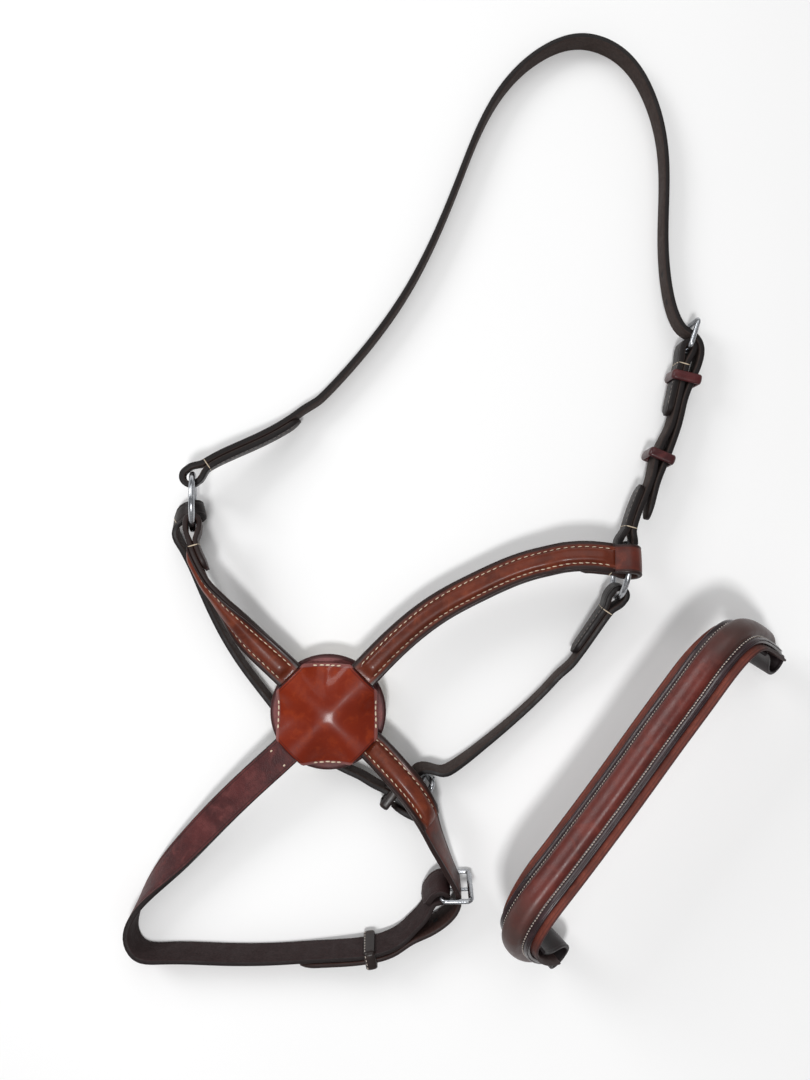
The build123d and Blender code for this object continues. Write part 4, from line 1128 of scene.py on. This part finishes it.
place(rosette_cover(), "straps", "tan_leather", "rosette_cover")
rosette_bits = Bits()
for quarter in range(4):
    a = math.radians(90 * quarter)
    x = np.array([math.cos(a), math.sin(a), 0.0])
    y = np.array([-math.sin(a), math.cos(a), 0.0])
    for k in range(5):
        off = (k - 2) * 3.7 + RNG.normal(0, 0.15)
        q = x * (29.9 + RNG.normal(0, 0.1)) + y * off
        c = ROSETTE + q + Z * (cover_height(q[0], q[1]) + 0.1)
        rosette_bits.pod(c, y, x, Z, 1.45, 0.5)
place(rosette_bits.made("rosette_stitches", CREAM), "straps", "tan_leather")


# ---- browband --------------------------------------------------------------------------
def lining_outline(s, length):
    """Soft lining with rolled edges, narrower on one side near its ends."""
    half, low, high, r = 15.7, -1.6, -0.1, 0.62
    a, b = half - 3.5 * (1 - smooth01((min(s, length - s) - 40.0) / 55.0)), half
    mid = [(x, high + 0.02 + 0.05 * math.sin(s * 0.9 + x)) for x in np.linspace(b - r, -a + r, 9)]
    under = [(x, low - 0.15 - 0.5 * math.cos(x / half * 1.57)) for x in np.linspace(-a + r, b - r, 9)]
    return (under + arc(b - r, (low + high) / 2, 0.75, -80, 80, 7) + mid
            + arc(-a + r, (low + high) / 2, 0.75, 100, 260, 7))


def flange_outline(s, length):
    return strap_loop(11.5, 1.1, 0.1, crease=1.5, r=0.9)


def roll_outline(s, length):
    """Leather drawn tight over the cord: flat stitched flange each side of a round roll."""
    k = min(1.0, 0.25 + min(s, length - s) / 14)
    k = k * k * (3 - 2 * k)
    a, low, base = 10.9, 3.35, 2.45
    right = [(a - 0.05, base), (a, base + 0.3), (a - 0.15, low - 0.25), (a - 0.6, low), (9.6, low + 0.02),
             (8.6, low - 0.02), (8.1, low - 0.22), (7.75, low - 0.32), (7.3, low - 0.2), (6.9, low - 0.02)]
    hump = []
    for ang in np.linspace(6, 174, 21):
        c, si = math.cos(math.radians(ang)), math.sin(math.radians(ang))
        hump.append((6.75 * math.copysign(abs(c) ** 0.92, c), low + 5.5 * k * si ** 0.85 + 0.02))
    return right + hump + [(-x, y) for x, y in right[::-1]]


lining = sweep("browband_soft_lining", BROW, lining_outline, LINING, longest=2.0, turn=5.0)
place(lining, "browband", "lining_leather", "browband_lining")
backing_frames = (BROW[0] + BROW[3] * 1.15, *BROW[1:])
place(sweep("browband_backing", backing_frames, flange_outline, FLANGE, longest=2.0, turn=5.0),
      "browband", "brown_leather", "browband_strap")


roll = sweep("browband_padded_roll", BROW, roll_outline, ROLL, longest=1.8, turn=5.0)
roll.data.materials.append(FLANGE)           # glossy dark flange beside the red-brown roll
strap_data = roll.data.attributes["strap"].data
for face in roll.data.polygons:
    if max(abs(strap_data[v].vector[1]) for v in face.vertices) > 6.95:
        face.material_index = 1
place(roll, "browband", "brown_leather", "browband_roll", "browband_filler")
brow_bits = Bits()
for across, skew in ((7.75, 0.22), (-7.75, -0.22)):
    stitch_row(brow_bits, BROW, across, 3.23, 14.0, BROW_LEN - 14.0, 1.75, 1.25, 0.36, skew)
place(brow_bits.made("browband_stitches", PALE), "browband", "brown_leather")


def loop_outline(s, length):
    return strap_loop(11.4, 1.1, 0.08, crease=1.8, r=0.8)


for end, rows in (("lower", LOOP_LOWER), ("upper", LOOP_UPPER)):
    place(sweep("browband_end_loop_" + end, arch_route(rows, 2), loop_outline, LOOP, longest=1.5, turn=6.0),
          "browband", "brown_leather", "browband_loop_" + end)


# ---- floor, lights, camera -------------------------------------------------------------
def floor():
    mesh = bpy.data.meshes.new("floor")
    half = 6.0
    corners = [(-half, -half, 0), (half, -half, 0), (half, half, 0), (-half, half, 0)]
    mesh.from_pydata(corners, [], [(0, 1, 2, 3)])
    g = Graph("pale_floor")
    spot = g.noise(3.0, 2.0, 0.5)
    colour = g.mix(g.ramp(spot, 0.3, 0.7), (0.93, 0.93, 0.93), (0.95, 0.95, 0.95))
    mesh.materials.append(g.done(colour, g.ramp(spot, 0.3, 0.7, 0.75, 0.85), spec=0.1))
    obj = bpy.data.objects.new("floor", mesh)
    bpy.context.scene.collection.objects.link(obj)
    obj.location.z = -0.0002


def area(name, place_at, aim, size, power):
    """Square soft light, aimed at a point."""
    light = bpy.data.lights.new(name, "AREA")
    light.shape = "SQUARE"
    light.size = size
    light.energy = power
    obj = bpy.data.objects.new(name, light)
    bpy.context.scene.collection.objects.link(obj)
    obj.location = place_at
    obj.rotation_euler = (Vector(aim) - Vector(place_at)).to_track_quat("-Z", "Y").to_euler()


floor()
area("key", (-0.1, -0.44, 1.25), (-0.03, -0.08, 0.0), 0.2, 7.6)
area("soft_left", (-1.1, 0.75, 0.85), (0.0, 0.0, 0.0), 0.6, 8.5)
area("soft_top", (0.1, 1.15, 1.25), (0.0, 0.05, 0.0), 1.2, 6.5)
world = bpy.data.worlds.new("studio")
bpy.context.scene.world = world
world.use_nodes = True
world.node_tree.nodes["Background"].inputs["Color"].default_value = (1.0, 1.0, 1.0, 1.0)
world.node_tree.nodes["Background"].inputs["Strength"].default_value = 0.36
bpy.context.scene.view_settings.view_transform = "Standard"
bpy.context.scene.view_settings.look = "None"

camera = bpy.data.cameras.new("camera")
camera.sensor_fit = "VERTICAL"
camera.sensor_height = 36.0
camera.sensor_width = 36.0
camera.lens = 27.07
camera.clip_start, camera.clip_end = 0.01, 20.0
cam = bpy.data.objects.new("camera", camera)
bpy.context.scene.collection.objects.link(cam)
cam.location = (-0.03024, -0.0261, 0.524)
bpy.context.scene.camera = cam

bpy.context.view_layer.update()
